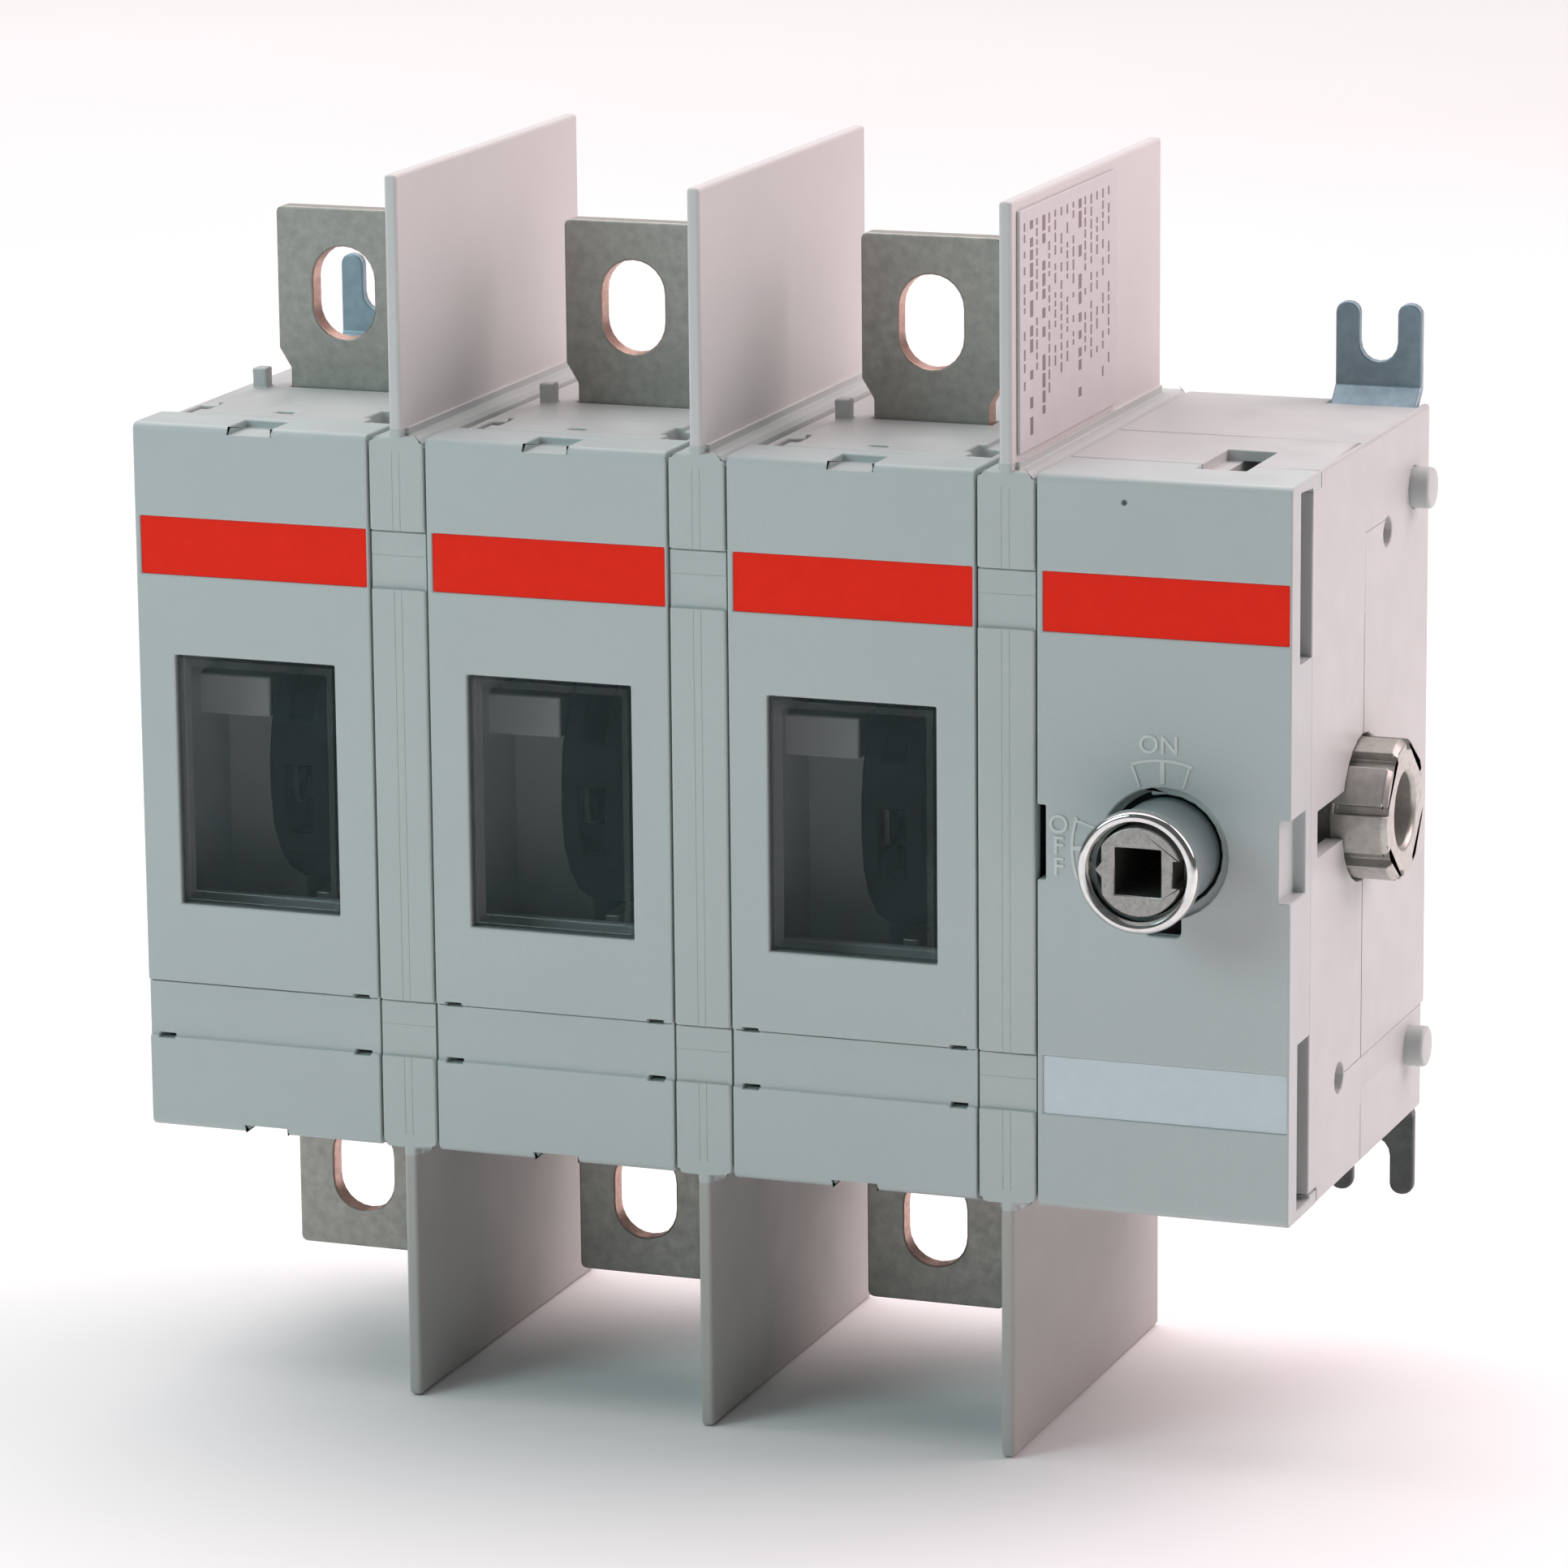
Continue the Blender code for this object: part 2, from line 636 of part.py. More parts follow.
def pin_cutters(start, end):
    """Cutters along X for the two tie pins' holes."""
    return [rod("X", (PIN_Y, z), PIN_HOLE_RADIUS, start, end, 12) for z in (PIN_Z, -PIN_Z)]


def pole_base():
    front = FRONT_Y + COVER_DEPTH + GAP
    inner_x = HALF_WIDTH - BASE_INSET - BASE_WALL
    inner_z = HALF_HEIGHT - BASE_TOP_WALL
    foot_x = LEFT_FOOT_X - POLE_X[0]
    posts = both_ways(POST_X, POST_Y, (HALF_HEIGHT - 1, HALF_HEIGHT + POST_HEIGHT))
    joined = [*posts, *base_inner_walls(inner_x, inner_z), *foot_pads(foot_x, inner_z + 2)]
    neck = both_ways(
        (-NECK_WIDTH / 2 - GAP, NECK_WIDTH / 2 + GAP),
        (AXIS_Y - TERMINAL_THICKNESS / 2 - GAP, AXIS_Y + TERMINAL_THICKNESS / 2 + GAP),
        (inner_z - BEYOND, HALF_HEIGHT + BEYOND),
    )
    across = (-HALF_WIDTH - BEYOND, HALF_WIDTH + BEYOND)
    holes = [rod("X", (AXIS_Y, 0), HUB_HOLE_RADIUS, *across), *pin_cutters(*across)]
    cuts = [*base_top_cutters(front), *neck, *holes, *foot_sockets(foot_x)]
    return carved(base_shell(front, inner_x, inner_z), joined=joined, cut=cuts)


# ---------------------------------------------------------------- phase barrier


def phase_barrier():
    """A hollow spacer between two modules, with a thin plate that stands out above and below it."""
    half = SPACER_WIDTH / 2
    outline = rounded_rectangle(half, HALF_HEIGHT, SPACER_CORNER, 3)
    spacer = prism("Y", outline, FRONT_Y, SPACER_BACK_Y)
    plate = block(
        (-BARRIER_THICKNESS / 2, BARRIER_THICKNESS / 2),
        (FRONT_Y, BARRIER_BACK_Y),
        (-BARRIER_HALF_HEIGHT, BARRIER_HALF_HEIGHT),
    )
    pockets = []
    for side in (-1, 1):
        near, far = sorted((side * BARRIER_THICKNESS / 2, side * (half + BEYOND)))
        pockets.append(
            block(
                (near, far),
                (FRONT_Y + SPACER_RIM, SPACER_BACK_Y - SPACER_RIM),
                (-HALF_HEIGHT + SPACER_RIM, HALF_HEIGHT - SPACER_RIM),
            )
        )
    bosses = [rod("X", (AXIS_Y, 0), HUB_BOSS_RADIUS, -half, half)]
    bosses += [rod("X", (PIN_Y, z), PIN_BOSS_RADIUS, -half, half, 12) for z in (PIN_Z, -PIN_Z)]
    across = (-half - BEYOND, half + BEYOND)
    holes = [rod("X", (AXIS_Y, 0), HUB_HOLE_RADIUS, *across), *pin_cutters(*across)]
    bands = [front_band(MARKER_BAND, BAND_DEPTH), front_band(LOWER_BAND, BAND_DEPTH)]
    shell = carved(spacer, joined=[plate], cut=[*pockets, *bands])
    return carved(shell, joined=bosses, cut=holes)


def rating_label():
    """A thin label on a barrier plate's right face."""
    face = BARRIER_THICKNESS / 2 + GAP
    depth = [FRONT_Y + level for level in RATING_LABEL_Y]
    height = [HALF_HEIGHT + level for level in RATING_LABEL_Z]
    return block((face, face + LABEL_THICKNESS), depth, height)


# ---------------------------------------------------------------- contacts, from the shaft's axis


def terminal():
    """A flat bar with a bolt slot.

    Its hooked tongue comes round behind the rotor and into the slot in the rotor's side.
    """
    half = TERMINAL_WIDTH / 2
    neck = NECK_WIDTH / 2
    outline = [(-neck, NECK_END_Z), (neck, NECK_END_Z), (neck, SHOULDER_Z[0]), (half, SHOULDER_Z[1])]
    corner = TERMINAL_CORNER
    outline += arc((half - corner, TERMINAL_TIP_Z - corner), corner, 0, 90, 3)
    outline += arc((corner - half, TERMINAL_TIP_Z - corner), corner, 90, 180, 3)
    outline += [(-half, SHOULDER_Z[1]), (-neck, SHOULDER_Z[0])]
    faces = (-TERMINAL_THICKNESS / 2, TERMINAL_THICKNESS / 2)
    bar = prism("Y", outline, *faces)
    low, high = TONGUE_REACH
    near, far = TONGUE_ARM
    arm_top = NECK_END_Z - GAP
    arm_bottom = arm_top - TONGUE_BAR
    root = faces[1] - 0.4
    tongue_outline = [
        (-TONGUE_HALF_DEPTH, low),
        (far, low),
        (far, arm_top),
        (root, arm_top),
        (root, NECK_END_Z + 3.0),
        (-root, NECK_END_Z + 3.0),
        (-root, arm_bottom),
        (near, arm_bottom),
        (near, high),
        (-TONGUE_HALF_DEPTH, high),
    ]
    tongue = prism(
        "X",
        tongue_outline,
        CONTACT_X - TONGUE_THICKNESS / 2,
        CONTACT_X + TONGUE_THICKNESS / 2,
    )
    slot_outline = rounded_rectangle(
        BOLT_SLOT_WIDTH / 2, BOLT_SLOT_LENGTH / 2, BOLT_SLOT_WIDTH / 2 - 0.01, 6, (0, BOLT_SLOT_Z)
    )
    slot = prism("Y", slot_outline, faces[0] - BEYOND, faces[1] + BEYOND)
    return carved(bar, joined=[tongue], cut=[slot])


def rotor():
    """The dark carrier that turns on the cross shaft and holds the moving contact."""
    side = (CONTACT_X - ROTOR_WIDTH / 2, CONTACT_X + ROTOR_WIDTH / 2)
    bar = prism("X", rounded_rectangle(ROTOR_REACH, ROTOR_HALF_HEIGHT, ROTOR_CORNER, 5), *side)
    hub = rod("X", (0, 0), ROTOR_HUB_RADIUS, -ROTOR_HUB_HALF_LENGTH, ROTOR_HUB_HALF_LENGTH)
    half_cavity = BLADE_INNER_GAP / 2 + BLADE_THICKNESS + GAP
    cavity = (CONTACT_X - half_cavity, CONTACT_X + half_cavity)
    reach = BLADE_REACH + GAP
    height = BLADE_HALF_HEIGHT + GAP
    blade_room = block(cavity, (-reach, reach), (-height, height))
    hub_room = rod("X", (0, 0), BLADE_HUB_RADIUS + GAP, *cavity)
    entry = (CONTACT_X - ENTRY_WIDTH / 2, CONTACT_X + ENTRY_WIDTH / 2)
    upward = ROTOR_HALF_HEIGHT + BEYOND
    below = -height - 0.4
    entry_outline = arc((0, 0), ENTRY_START, 180 - math.degrees(math.asin(below / ENTRY_START)), 90, 12)
    entry_outline += [(0.0, upward), (-ENTRY_END, upward), (-ENTRY_END, below)]
    front_entry = prism("X", entry_outline, *entry)
    entries = [front_entry, turned_over(front_entry)]
    vent_width = (CONTACT_X - VENT_WIDTH / 2, CONTACT_X + VENT_WIDTH / 2)
    vent = block(vent_width, (-ROTOR_REACH - BEYOND, -VENT_END), VENT_Z)
    reach = ROTOR_HUB_HALF_LENGTH + 1
    bore = square_bar("X", (0, 0), SHAFT_BORE_SQUARE, -reach, reach)
    return smooth(carved(bar, joined=[hub], cut=[blade_room, hub_room, *entries, vent, bore]))


def moving_contact():
    """Two parallel blades on a shared hub, which grip the tongues when the switch is on."""
    half = BLADE_INNER_GAP / 2 + BLADE_THICKNESS
    side = (CONTACT_X - half, CONTACT_X + half)
    gap = (CONTACT_X - BLADE_INNER_GAP / 2, CONTACT_X + BLADE_INNER_GAP / 2)
    blades = prism("X", rounded_rectangle(BLADE_REACH, BLADE_HALF_HEIGHT, 2.0, 2), *side)
    hub = rod("X", (0, 0), BLADE_HUB_RADIUS, *side)
    clearance = BLADE_HUB_RADIUS
    between = [
        block(gap, (-BLADE_REACH - 1, -clearance), (-BLADE_HALF_HEIGHT - 1, BLADE_HALF_HEIGHT + 1)),
        block(gap, (clearance, BLADE_REACH + 1), (-BLADE_HALF_HEIGHT - 1, BLADE_HALF_HEIGHT + 1)),
    ]
    bore = square_bar("X", (0, 0), SHAFT_BORE_SQUARE, side[0] - 1, side[1] + 1)
    return carved(blades, joined=[hub], cut=[*between, bore])


def arc_chute():
    """Splitter plates between two side strips, in front of the upper tongue."""
    strips = []
    for side in (-1, 1):
        width = sorted(side * edge for edge in CHUTE_STRIP_X)
        strips.append(block(width, CHUTE_STRIP_Y, CHUTE_STRIP_Z))
    across = (-CHUTE_PLATE_HALF_WIDTH, CHUTE_PLATE_HALF_WIDTH)
    plates = []
    for i in range(CHUTE_PLATES):
        front = CHUTE_PLATE_START + CHUTE_PLATE_PITCH * i
        plates.append(block(across, (front, front + CHUTE_PLATE_THICKNESS), CHUTE_PLATE_Z))
    return carved(strips[0], joined=[strips[1], *plates])


# ---------------------------------------------------------------- mechanism housing


def housing_half(front, back, half_width):
    """A housing half between two depths, open at its seam."""
    return block((-half_width, half_width), (front, back), (-HALF_HEIGHT, HALF_HEIGHT))


def side_holes():
    """Cutters, shared by both halves, along the cross shaft."""
    inside = HALF_WIDTH - HOLE_WALL
    return [
        rod("X", (AXIS_Y, 0), COUPLING_HOLE_RADIUS, inside, HALF_WIDTH + BEYOND),
        rod("X", (AXIS_Y, 0), HUB_HOLE_RADIUS, -HALF_WIDTH - BEYOND, -inside),
    ]


def side_pit(centre, radius):
    """Cutter for a round pit in the right side."""
    return rod("X", centre, radius, HALF_WIDTH - ROUND_HOLE_DEPTH, HALF_WIDTH + BEYOND, 12)


def index_opening():
    """Cutters for the ramp and the window in front of the side coupling."""
    outside = HALF_WIDTH + BEYOND
    ramp_start, ramp_end = INDEX_RAMP_Y
    floor = HALF_WIDTH - INDEX_RAMP_DEPTH
    outline = [
        (HALF_WIDTH + 0.02, ramp_start),
        (floor, ramp_end),
        (floor, INDEX_RAMP_END_Y),
        (outside, INDEX_RAMP_END_Y),
        (outside, ramp_start),
    ]
    inside = HALF_WIDTH - HOUSING_WALL - 1
    window = block((inside, outside), (ramp_end, INDEX_WINDOW_END_Y), INDEX_WINDOW_Z)
    return [prism("Z", outline, *INDEX_WINDOW_Z), window]


def top_pocket(front):
    """Cutters for the pocket behind the cover's top edge and the hole in its floor."""
    above = HALF_HEIGHT + BEYOND
    start = front - BEYOND
    pocket = block(TOP_POCKET_X, (start, FRONT_Y + TOP_POCKET_END), (HALF_HEIGHT - TOP_POCKET_DEPTH, above))
    hole_y = (start, FRONT_Y + TOP_POCKET_HOLE_END)
    hole = block(TOP_POCKET_HOLE_X, hole_y, (HALF_HEIGHT - HOUSING_WALL * 3, above))
    return [pocket, hole]


def mechanism_front_housing():
    front = FRONT_Y + COVER_DEPTH
    seam = AXIS_Y - GAP / 2
    cover_end = FRONT_Y + MECHANISM_COVER_DEPTH + GAP
    inner_x = HALF_WIDTH - HOUSING_WALL
    inner_z = HALF_HEIGHT - COVER_WALL - HOUSING_WALL
    hollow = block((-inner_x, inner_x), (front - BEYOND, seam + BEYOND), (-inner_z, inner_z))
    trims = both_ways(
        (-HALF_WIDTH - BEYOND, HALF_WIDTH + BEYOND),
        (front - BEYOND, cover_end),
        (HALF_HEIGHT - COVER_WALL - GAP, HALF_HEIGHT + BEYOND),
    )
    round_hole = side_pit(LOWER_ROUND_HOLE, LOWER_ROUND_HOLE_RADIUS)
    cuts = [hollow, *trims, *top_pocket(front), *index_opening(), round_hole, *side_holes()]
    return carved(housing_half(front, seam, HALF_WIDTH), cut=cuts)


def mechanism_rear_housing():
    seam = AXIS_Y + GAP / 2
    inner_x = HALF_WIDTH - HOUSING_WALL
    inner_z = HALF_HEIGHT - COVER_WALL - HOUSING_WALL
    foot_x = RIGHT_FOOT_X - MECHANISM_X
    across = (-HALF_WIDTH - BEYOND, HALF_WIDTH + BEYOND)
    low = (-HALF_HEIGHT - BEYOND, BACK_STEP_TOP_Z)
    hollow = block((-inner_x, inner_x), (seam - BEYOND, BACK_Y - BASE_BACK_WALL), (-inner_z, inner_z))
    back_step = block(across, (BACK_Y - BACK_STEP_DEPTH, BACK_Y + BEYOND), low)
    outer = (HALF_WIDTH - SIDE_STEP_DEPTH, HALF_WIDTH + BEYOND)
    side_step = block(outer, (seam - 1, BACK_Y + BEYOND), low)
    round_hole = side_pit(UPPER_ROUND_HOLE, UPPER_ROUND_HOLE_RADIUS)
    shell = carved(housing_half(seam, BACK_Y, HALF_WIDTH), cut=[hollow])
    cuts = [back_step, side_step, *pin_cutters(*across), round_hole, *foot_sockets(foot_x), *side_holes()]
    return carved(shell, joined=foot_pads(foot_x, inner_z + 2), cut=cuts)


# ---------------------------------------------------------------- front drive, from its axis


def drive_ring():
    profile = [(RING_BORE_RADIUS, 0.5), (RING_BORE_RADIUS + 0.5, 0.0), (RING_RADIUS - 0.6, 0.0)]
    profile += [(RING_RADIUS, 0.6), (RING_RADIUS, RING_THICKNESS), (RING_BORE_RADIUS, RING_THICKNESS)]
    return smooth(turned_ring(profile, RING_FACE_Y), 40.0)


def turned_ring(profile, start_y, sides=32):
    """Turns a closed outline of (radius, distance back from start_y) about the Y axis."""
    shape = bmesh.new()
    rings = []
    for i in range(sides):
        angle = 2 * math.pi * i / sides
        ring = []
        for radius, back in profile:
            point = (radius * math.cos(angle), start_y + back, radius * math.sin(angle))
            ring.append(shape.verts.new(point))
        rings.append(ring)
    for i in range(sides):
        here = rings[i]
        after = rings[(i + 1) % sides]
        for j in range(len(profile)):
            k = (j + 1) % len(profile)
            shape.faces.new((here[j], here[k], after[k], after[j]))
    return closed_mesh(shape)


def drive_sleeve():
    start = RING_FACE_Y + RING_THICKNESS + GAP
    tube = rod("Y", (0, 0), SLEEVE_RADIUS, start, SLEEVE_END_Y, 32)
    bore = rod("Y", (0, 0), SLEEVE_BORE_RADIUS, start - 1, SLEEVE_END_Y + 1, 32)
    flange_y = FRONT_Y + COVER_FRONT_WALL + GAP
    flange_radius = SLEEVE_RADIUS + SLEEVE_FLANGE_REACH
    flange = rod("Y", (0, 0), flange_radius, flange_y, flange_y + SLEEVE_FLANGE_THICKNESS, 32)
    return smooth(carved(tube, joined=[flange], cut=[bore]))


def drive_socket():
    """The metal socket with a square hole. Its arrow points left when the switch is off."""
    body = rod("Y", (0, 0), SOCKET_RADIUS, SOCKET_FACE_Y, SOCKET_END_Y, 32)
    tenon = square_bar("Y", (0, 0), TENON_SQUARE, SOCKET_END_Y - 1, TENON_END_Y)
    square = square_bar("Y", (0, 0), SOCKET_SQUARE, SOCKET_FACE_Y - 1, SOCKET_FACE_Y + SOCKET_HOLE_DEPTH)
    arrow_flats = []
    for side in (-1, 1):
        outline = [(-5.9, 0.0), (-5.1, side * 0.9), (-5.1, side * 4.5), (-8.0, side * 4.5), (-8.0, 0.0)]
        arrow_flats.append(prism("Y", outline, SOCKET_FACE_Y - 1, SOCKET_FACE_Y + 4))
    notch = block((4.8, 8.0), (SOCKET_FACE_Y - 1, SOCKET_FACE_Y + 5), (-1.8, 1.8))
    return carved(body, joined=[tenon], cut=[square, notch, *arrow_flats])


def tooth_ring(scale, phase):
    """One end of a mitre gear's teeth, as (distance along the axis, across, across) points."""
    deep = -GEAR_DEDENDUM * math.cos(math.radians(45))
    tall = GEAR_ADDENDUM * math.cos(math.radians(45))
    corners = (
        (-TOOTH_ROOT_HALF, deep),
        (-TOOTH_TIP_HALF, tall),
        (TOOTH_TIP_HALF, tall),
        (TOOTH_ROOT_HALF, deep),
    )
    pitch_angle = 2 * math.pi / GEAR_TEETH
    ring = []
    for tooth in range(GEAR_TEETH):
        for offset, height in corners:
            angle = math.radians(phase) + (tooth + offset) * pitch_angle
            radius = (GEAR_HEEL_RADIUS + height) * scale
            along = (GEAR_HEEL_RADIUS - height) * scale
            ring.append((along, radius * math.cos(angle), radius * math.sin(angle)))
    return ring


def hub_ring(heel, back):
    """The round back of a gear's hub, with one point for each point of its teeth."""
    ring = []
    for _, a, b in heel:
        share = GEAR_HUB_RADIUS / math.hypot(a, b)
        ring.append((back, a * share, b * share))
    return ring


def mitre_gear(shaft_axis, sign, phase):
    """A straight bevel gear whose teeth all run to the point where the two shafts cross.

    Its axis is shaft_axis, it lies on the side that sign gives, and phase turns its teeth, in degrees.
    """
    heel = tooth_ring(1.0, phase)
    toe = tooth_ring(GEAR_TOE_RADIUS / GEAR_HEEL_RADIUS, phase)
    back = max(along for along, _, _ in heel) + GEAR_HUB_LENGTH
    shape = bmesh.new()
    rows = []
    for ring in (hub_ring(heel, back), heel, toe):
        row = []
        for along, a, b in ring:
            point = (sign * along, a, b) if shaft_axis == "X" else (a, sign * along, b)
            row.append(shape.verts.new(point))
        rows.append(row)
    for lower, upper in zip(rows, rows[1:]):
        for i in range(len(lower)):
            j = (i + 1) % len(lower)
            shape.faces.new((lower[i], lower[j], upper[j], upper[i]))
    shape.faces.new(rows[0])
    toe_row = rows[-1]
    middle = shape.verts.new(sum((vert.co for vert in toe_row), Vector()) / len(toe_row))
    for i in range(len(toe_row)):
        shape.faces.new((toe_row[i], toe_row[(i + 1) % len(toe_row)], middle))
    blank = closed_mesh(shape)
    reach = sorted((sign * 2.0, sign * (back + 2)))
    width = SHAFT_BORE_SQUARE if shaft_axis == "X" else TENON_SQUARE + 2 * GAP
    return carved(blank, cut=[square_bar(shaft_axis, (0, 0), width, *reach)])


# ---------------------------------------------------------------- cross shaft and coupling, from its axis


def cross_shaft():
    return square_bar("X", (0, 0), SHAFT_SQUARE, SHAFT_START_X, SHAFT_END_X)


def side_coupling():
    """A splined coupling on the shaft's right end. One groove is narrower, as an index."""
    outer_start = MECHANISM_X + HALF_WIDTH - COVER_WALL
    body = rod("X", (0, 0), COUPLING_RADIUS, outer_start, COUPLING_FACE_X, 32)
    hub = rod("X", (0, 0), COUPLING_HUB_RADIUS, COUPLING_HUB_X, outer_start + 1)
    grooves = []
    for i in range(COUPLING_GROOVES):
        angle = math.radians(COUPLING_FIRST_ANGLE + 360 / COUPLING_GROOVES * i)
        half = COUPLING_INDEX_HALF if i == COUPLING_INDEX_GROOVE else COUPLING_GROOVE_HALF
        out = Vector((math.cos(angle), math.sin(angle)))
        across = Vector((-out.y, out.x))
        corners = [
            out * COUPLING_ROOT_RADIUS - across * half,
            out * (COUPLING_RADIUS + BEYOND) - across * half * 1.2,
            out * (COUPLING_RADIUS + BEYOND) + across * half * 1.2,
            out * COUPLING_ROOT_RADIUS + across * half,
        ]
        outline = [(corner.x, corner.y) for corner in corners]
        grooves.append(prism("X", outline, outer_start + 0.6, COUPLING_FACE_X + BEYOND))
    bore = rod("X", (0, 0), COUPLING_BORE_RADIUS, SHAFT_END_X, COUPLING_FACE_X + BEYOND)
    square = square_bar("X", (0, 0), SHAFT_BORE_SQUARE, COUPLING_HUB_X - 1, SHAFT_END_X + GAP)
    return carved(body, joined=[hub], cut=[*grooves, bore, square])


def snap_spring():
    """A torsion spring round the drive socket, behind the cover."""
    shape = bmesh.new()
    rings = []
    for i in range(int(SPRING_TURNS * SPRING_STEPS) + 1):
        angle = 2 * math.pi * i / SPRING_STEPS + math.pi / 2
        centre_y = SPRING_START_Y + SPRING_PITCH * i / SPRING_STEPS
        ring = []
        for j in range(SPRING_SIDES):
            turn = 2 * math.pi * j / SPRING_SIDES
            radius = SPRING_RADIUS + SPRING_WIRE_RADIUS * math.cos(turn)
            y = centre_y + SPRING_WIRE_RADIUS * math.sin(turn)
            ring.append(shape.verts.new((radius * math.cos(angle), y, radius * math.sin(angle))))
        rings.append(ring)
    for here, after in zip(rings, rings[1:]):
        for j in range(SPRING_SIDES):
            k = (j + 1) % SPRING_SIDES
            shape.faces.new((here[j], here[k], after[k], after[j]))
    shape.faces.new(rings[0])
    shape.faces.new(rings[-1])
    return smooth(closed_mesh(shape))


# ---------------------------------------------------------------- feet and pins


def mounting_foot():
    """A forked bracket with a jog, so that its fork lies on the panel and its leg is in the housing."""
    half = FOOT_WIDTH / 2
    slot = FOOT_SLOT_WIDTH / 2
    tip = FOOT_TIP_CORNER
    outline = [(-half, FOOT_BEND_Z - 0.2), (half, FOOT_BEND_Z - 0.2)]
    outline += arc((half - tip, FOOT_TIP_Z - tip), tip, 0, 90, 4)
    outline += arc((slot + tip, FOOT_TIP_Z - tip), tip, 90, 180, 4)
    outline += arc((0, FOOT_SLOT_END_Z + slot), slot, 0, -180, 8)
    outline += arc((-slot - tip, FOOT_TIP_Z - tip), tip, 0, 90, 4)
    outline += arc((tip - half, FOOT_TIP_Z - tip), tip, 90, 180, 4)
    fork = prism("Y", outline, -FOOT_THICKNESS, 0.0)
    jog_end = FOOT_BEND_Z - FOOT_JOG
    side = [
        (0.0, FOOT_BEND_Z),
        (-FOOT_THICKNESS, FOOT_BEND_Z),
        (-FOOT_THICKNESS - FOOT_JOG, jog_end),
        (-FOOT_THICKNESS - FOOT_JOG, FOOT_END_Z),
        (-FOOT_JOG, FOOT_END_Z),
        (-FOOT_JOG, jog_end - 0.6),
        (0.0, FOOT_BEND_Z - 0.6),
    ]
    leg = prism("X", side, -half, half)
    return carved(fork, joined=[leg])


def tie_pin():
    body = rod("X", (0, 0), PIN_RADIUS, PIN_START_X, PIN_END_X - 0.4, 16)
    tip = rod("X", (0, 0), PIN_RADIUS - 0.4, PIN_END_X - 1.0, PIN_END_X, 16)
    return smooth(carved(body, joined=[tip]))


# ---------------------------------------------------------------- assembly


def build_poles(looks, shaft_pivot):
    cover, lens, base = pole_cover(), window_lens(), pole_base()
    upper, strip, chute = terminal(), marker_strip(), arc_chute()
    carrier, contact = rotor(), moving_contact()
    for name, x in zip(POLE_NAMES, POLE_X):
        place(f"pole_{name}_base", base, looks["base"], x)
        place(f"pole_{name}_cover", cover, looks["cover"], x)
        place(f"pole_{name}_window", lens, looks["lens"], x)
        place(f"pole_{name}_marker_strip", strip, looks["red"], x)
        place(f"pole_{name}_line_terminal", upper, looks["copper"], x, AXIS_Y)
        place(f"pole_{name}_load_terminal", turned_over(upper), looks["copper"], x, AXIS_Y)
        place(f"pole_{name}_line_arc_chute", chute, looks["chute"], x, AXIS_Y)
        place(f"pole_{name}_load_arc_chute", turned_over(chute), looks["chute"], x, AXIS_Y)
        place(f"pole_{name}_rotor", carrier, looks["rotor"], x, parent=shaft_pivot)
        place(f"pole_{name}_moving_contact", contact, looks["contact"], x, parent=shaft_pivot)


def build_barriers(looks):
    barrier = phase_barrier()
    for number, x in enumerate(SPACER_X, start=1):
        place(f"phase_barrier_{number}", barrier, looks["barrier"], x)
    place("rating_label", rating_label(), looks["white"], SPACER_X[-1])


def build_mechanism(looks, shaft_pivot, handle_pivot):
    x = MECHANISM_X
    place("mechanism_cover", mechanism_cover(), looks["cover"], x)
    place("mechanism_front_housing", mechanism_front_housing(), looks["base"], x)
    place("mechanism_rear_housing", mechanism_rear_housing(), looks["base"], x)
    place("mechanism_marker_strip", marker_strip(), looks["red"], x)
    place("marking_label", marking_label(), looks["white"], x)
    place("drive_ring", drive_ring(), looks["chrome"], parent=handle_pivot)
    place("drive_sleeve", drive_sleeve(), looks["sleeve"], parent=handle_pivot)
    place("drive_socket", drive_socket(), looks["socket"], parent=handle_pivot)
    drive_gear = mitre_gear("Y", -1, 180.0 / GEAR_TEETH)
    place("drive_bevel_gear", drive_gear, looks["steel"], y=AXIS_Y, parent=handle_pivot)
    cross_gear = mitre_gear("X", -1, 0.0)
    place("cross_bevel_gear", cross_gear, looks["steel"], x, parent=shaft_pivot)
    place("cross_shaft", cross_shaft(), looks["steel"], parent=shaft_pivot)
    place("side_coupling", side_coupling(), looks["coupling"], parent=shaft_pivot)
    place("snap_spring", snap_spring(), looks["spring"], x)


def build_fixings(looks):
    foot = mounting_foot()
    lower_foot = foot.copy()
    lower_foot.transform(Matrix.Scale(-1, 4, (0, 0, 1)))
    lower_foot.flip_normals()
    for side, x in (("left", LEFT_FOOT_X), ("right", RIGHT_FOOT_X)):
        place(f"{side}_upper_foot", foot, looks["zinc"], x)
        place(f"{side}_lower_foot", lower_foot, looks["zinc"], x)
    pin = tie_pin()
    place("upper_tie_pin", pin, looks["barrier"], y=PIN_Y, z=PIN_Z)
    place("lower_tie_pin", pin, looks["barrier"], y=PIN_Y, z=-PIN_Z)


def main():
    clear_scene()
    looks = make_materials()
    shaft_pivot = pivot("cross_shaft_axis", 0, AXIS_Y, 0)
    handle_pivot = pivot("front_drive_axis", MECHANISM_X, 0, 0)
    build_poles(looks, shaft_pivot)
    build_barriers(looks)
    build_mechanism(looks, shaft_pivot, handle_pivot)
    build_fixings(looks)


main()
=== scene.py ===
"""Looks of a three-pole rotary switch-disconnector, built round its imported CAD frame.

Most pieces start from their CAD node, so that they sit where the frame says. They get rounded edges and
finer moulded details, and a procedural material each. Lengths in this script are in millimetres, in the
CAD's own axes: X along the row, Y into the depth (the front faces -Y) and Z up. The helpers that make
meshes turn them into metres.
"""

import json
import math
import random

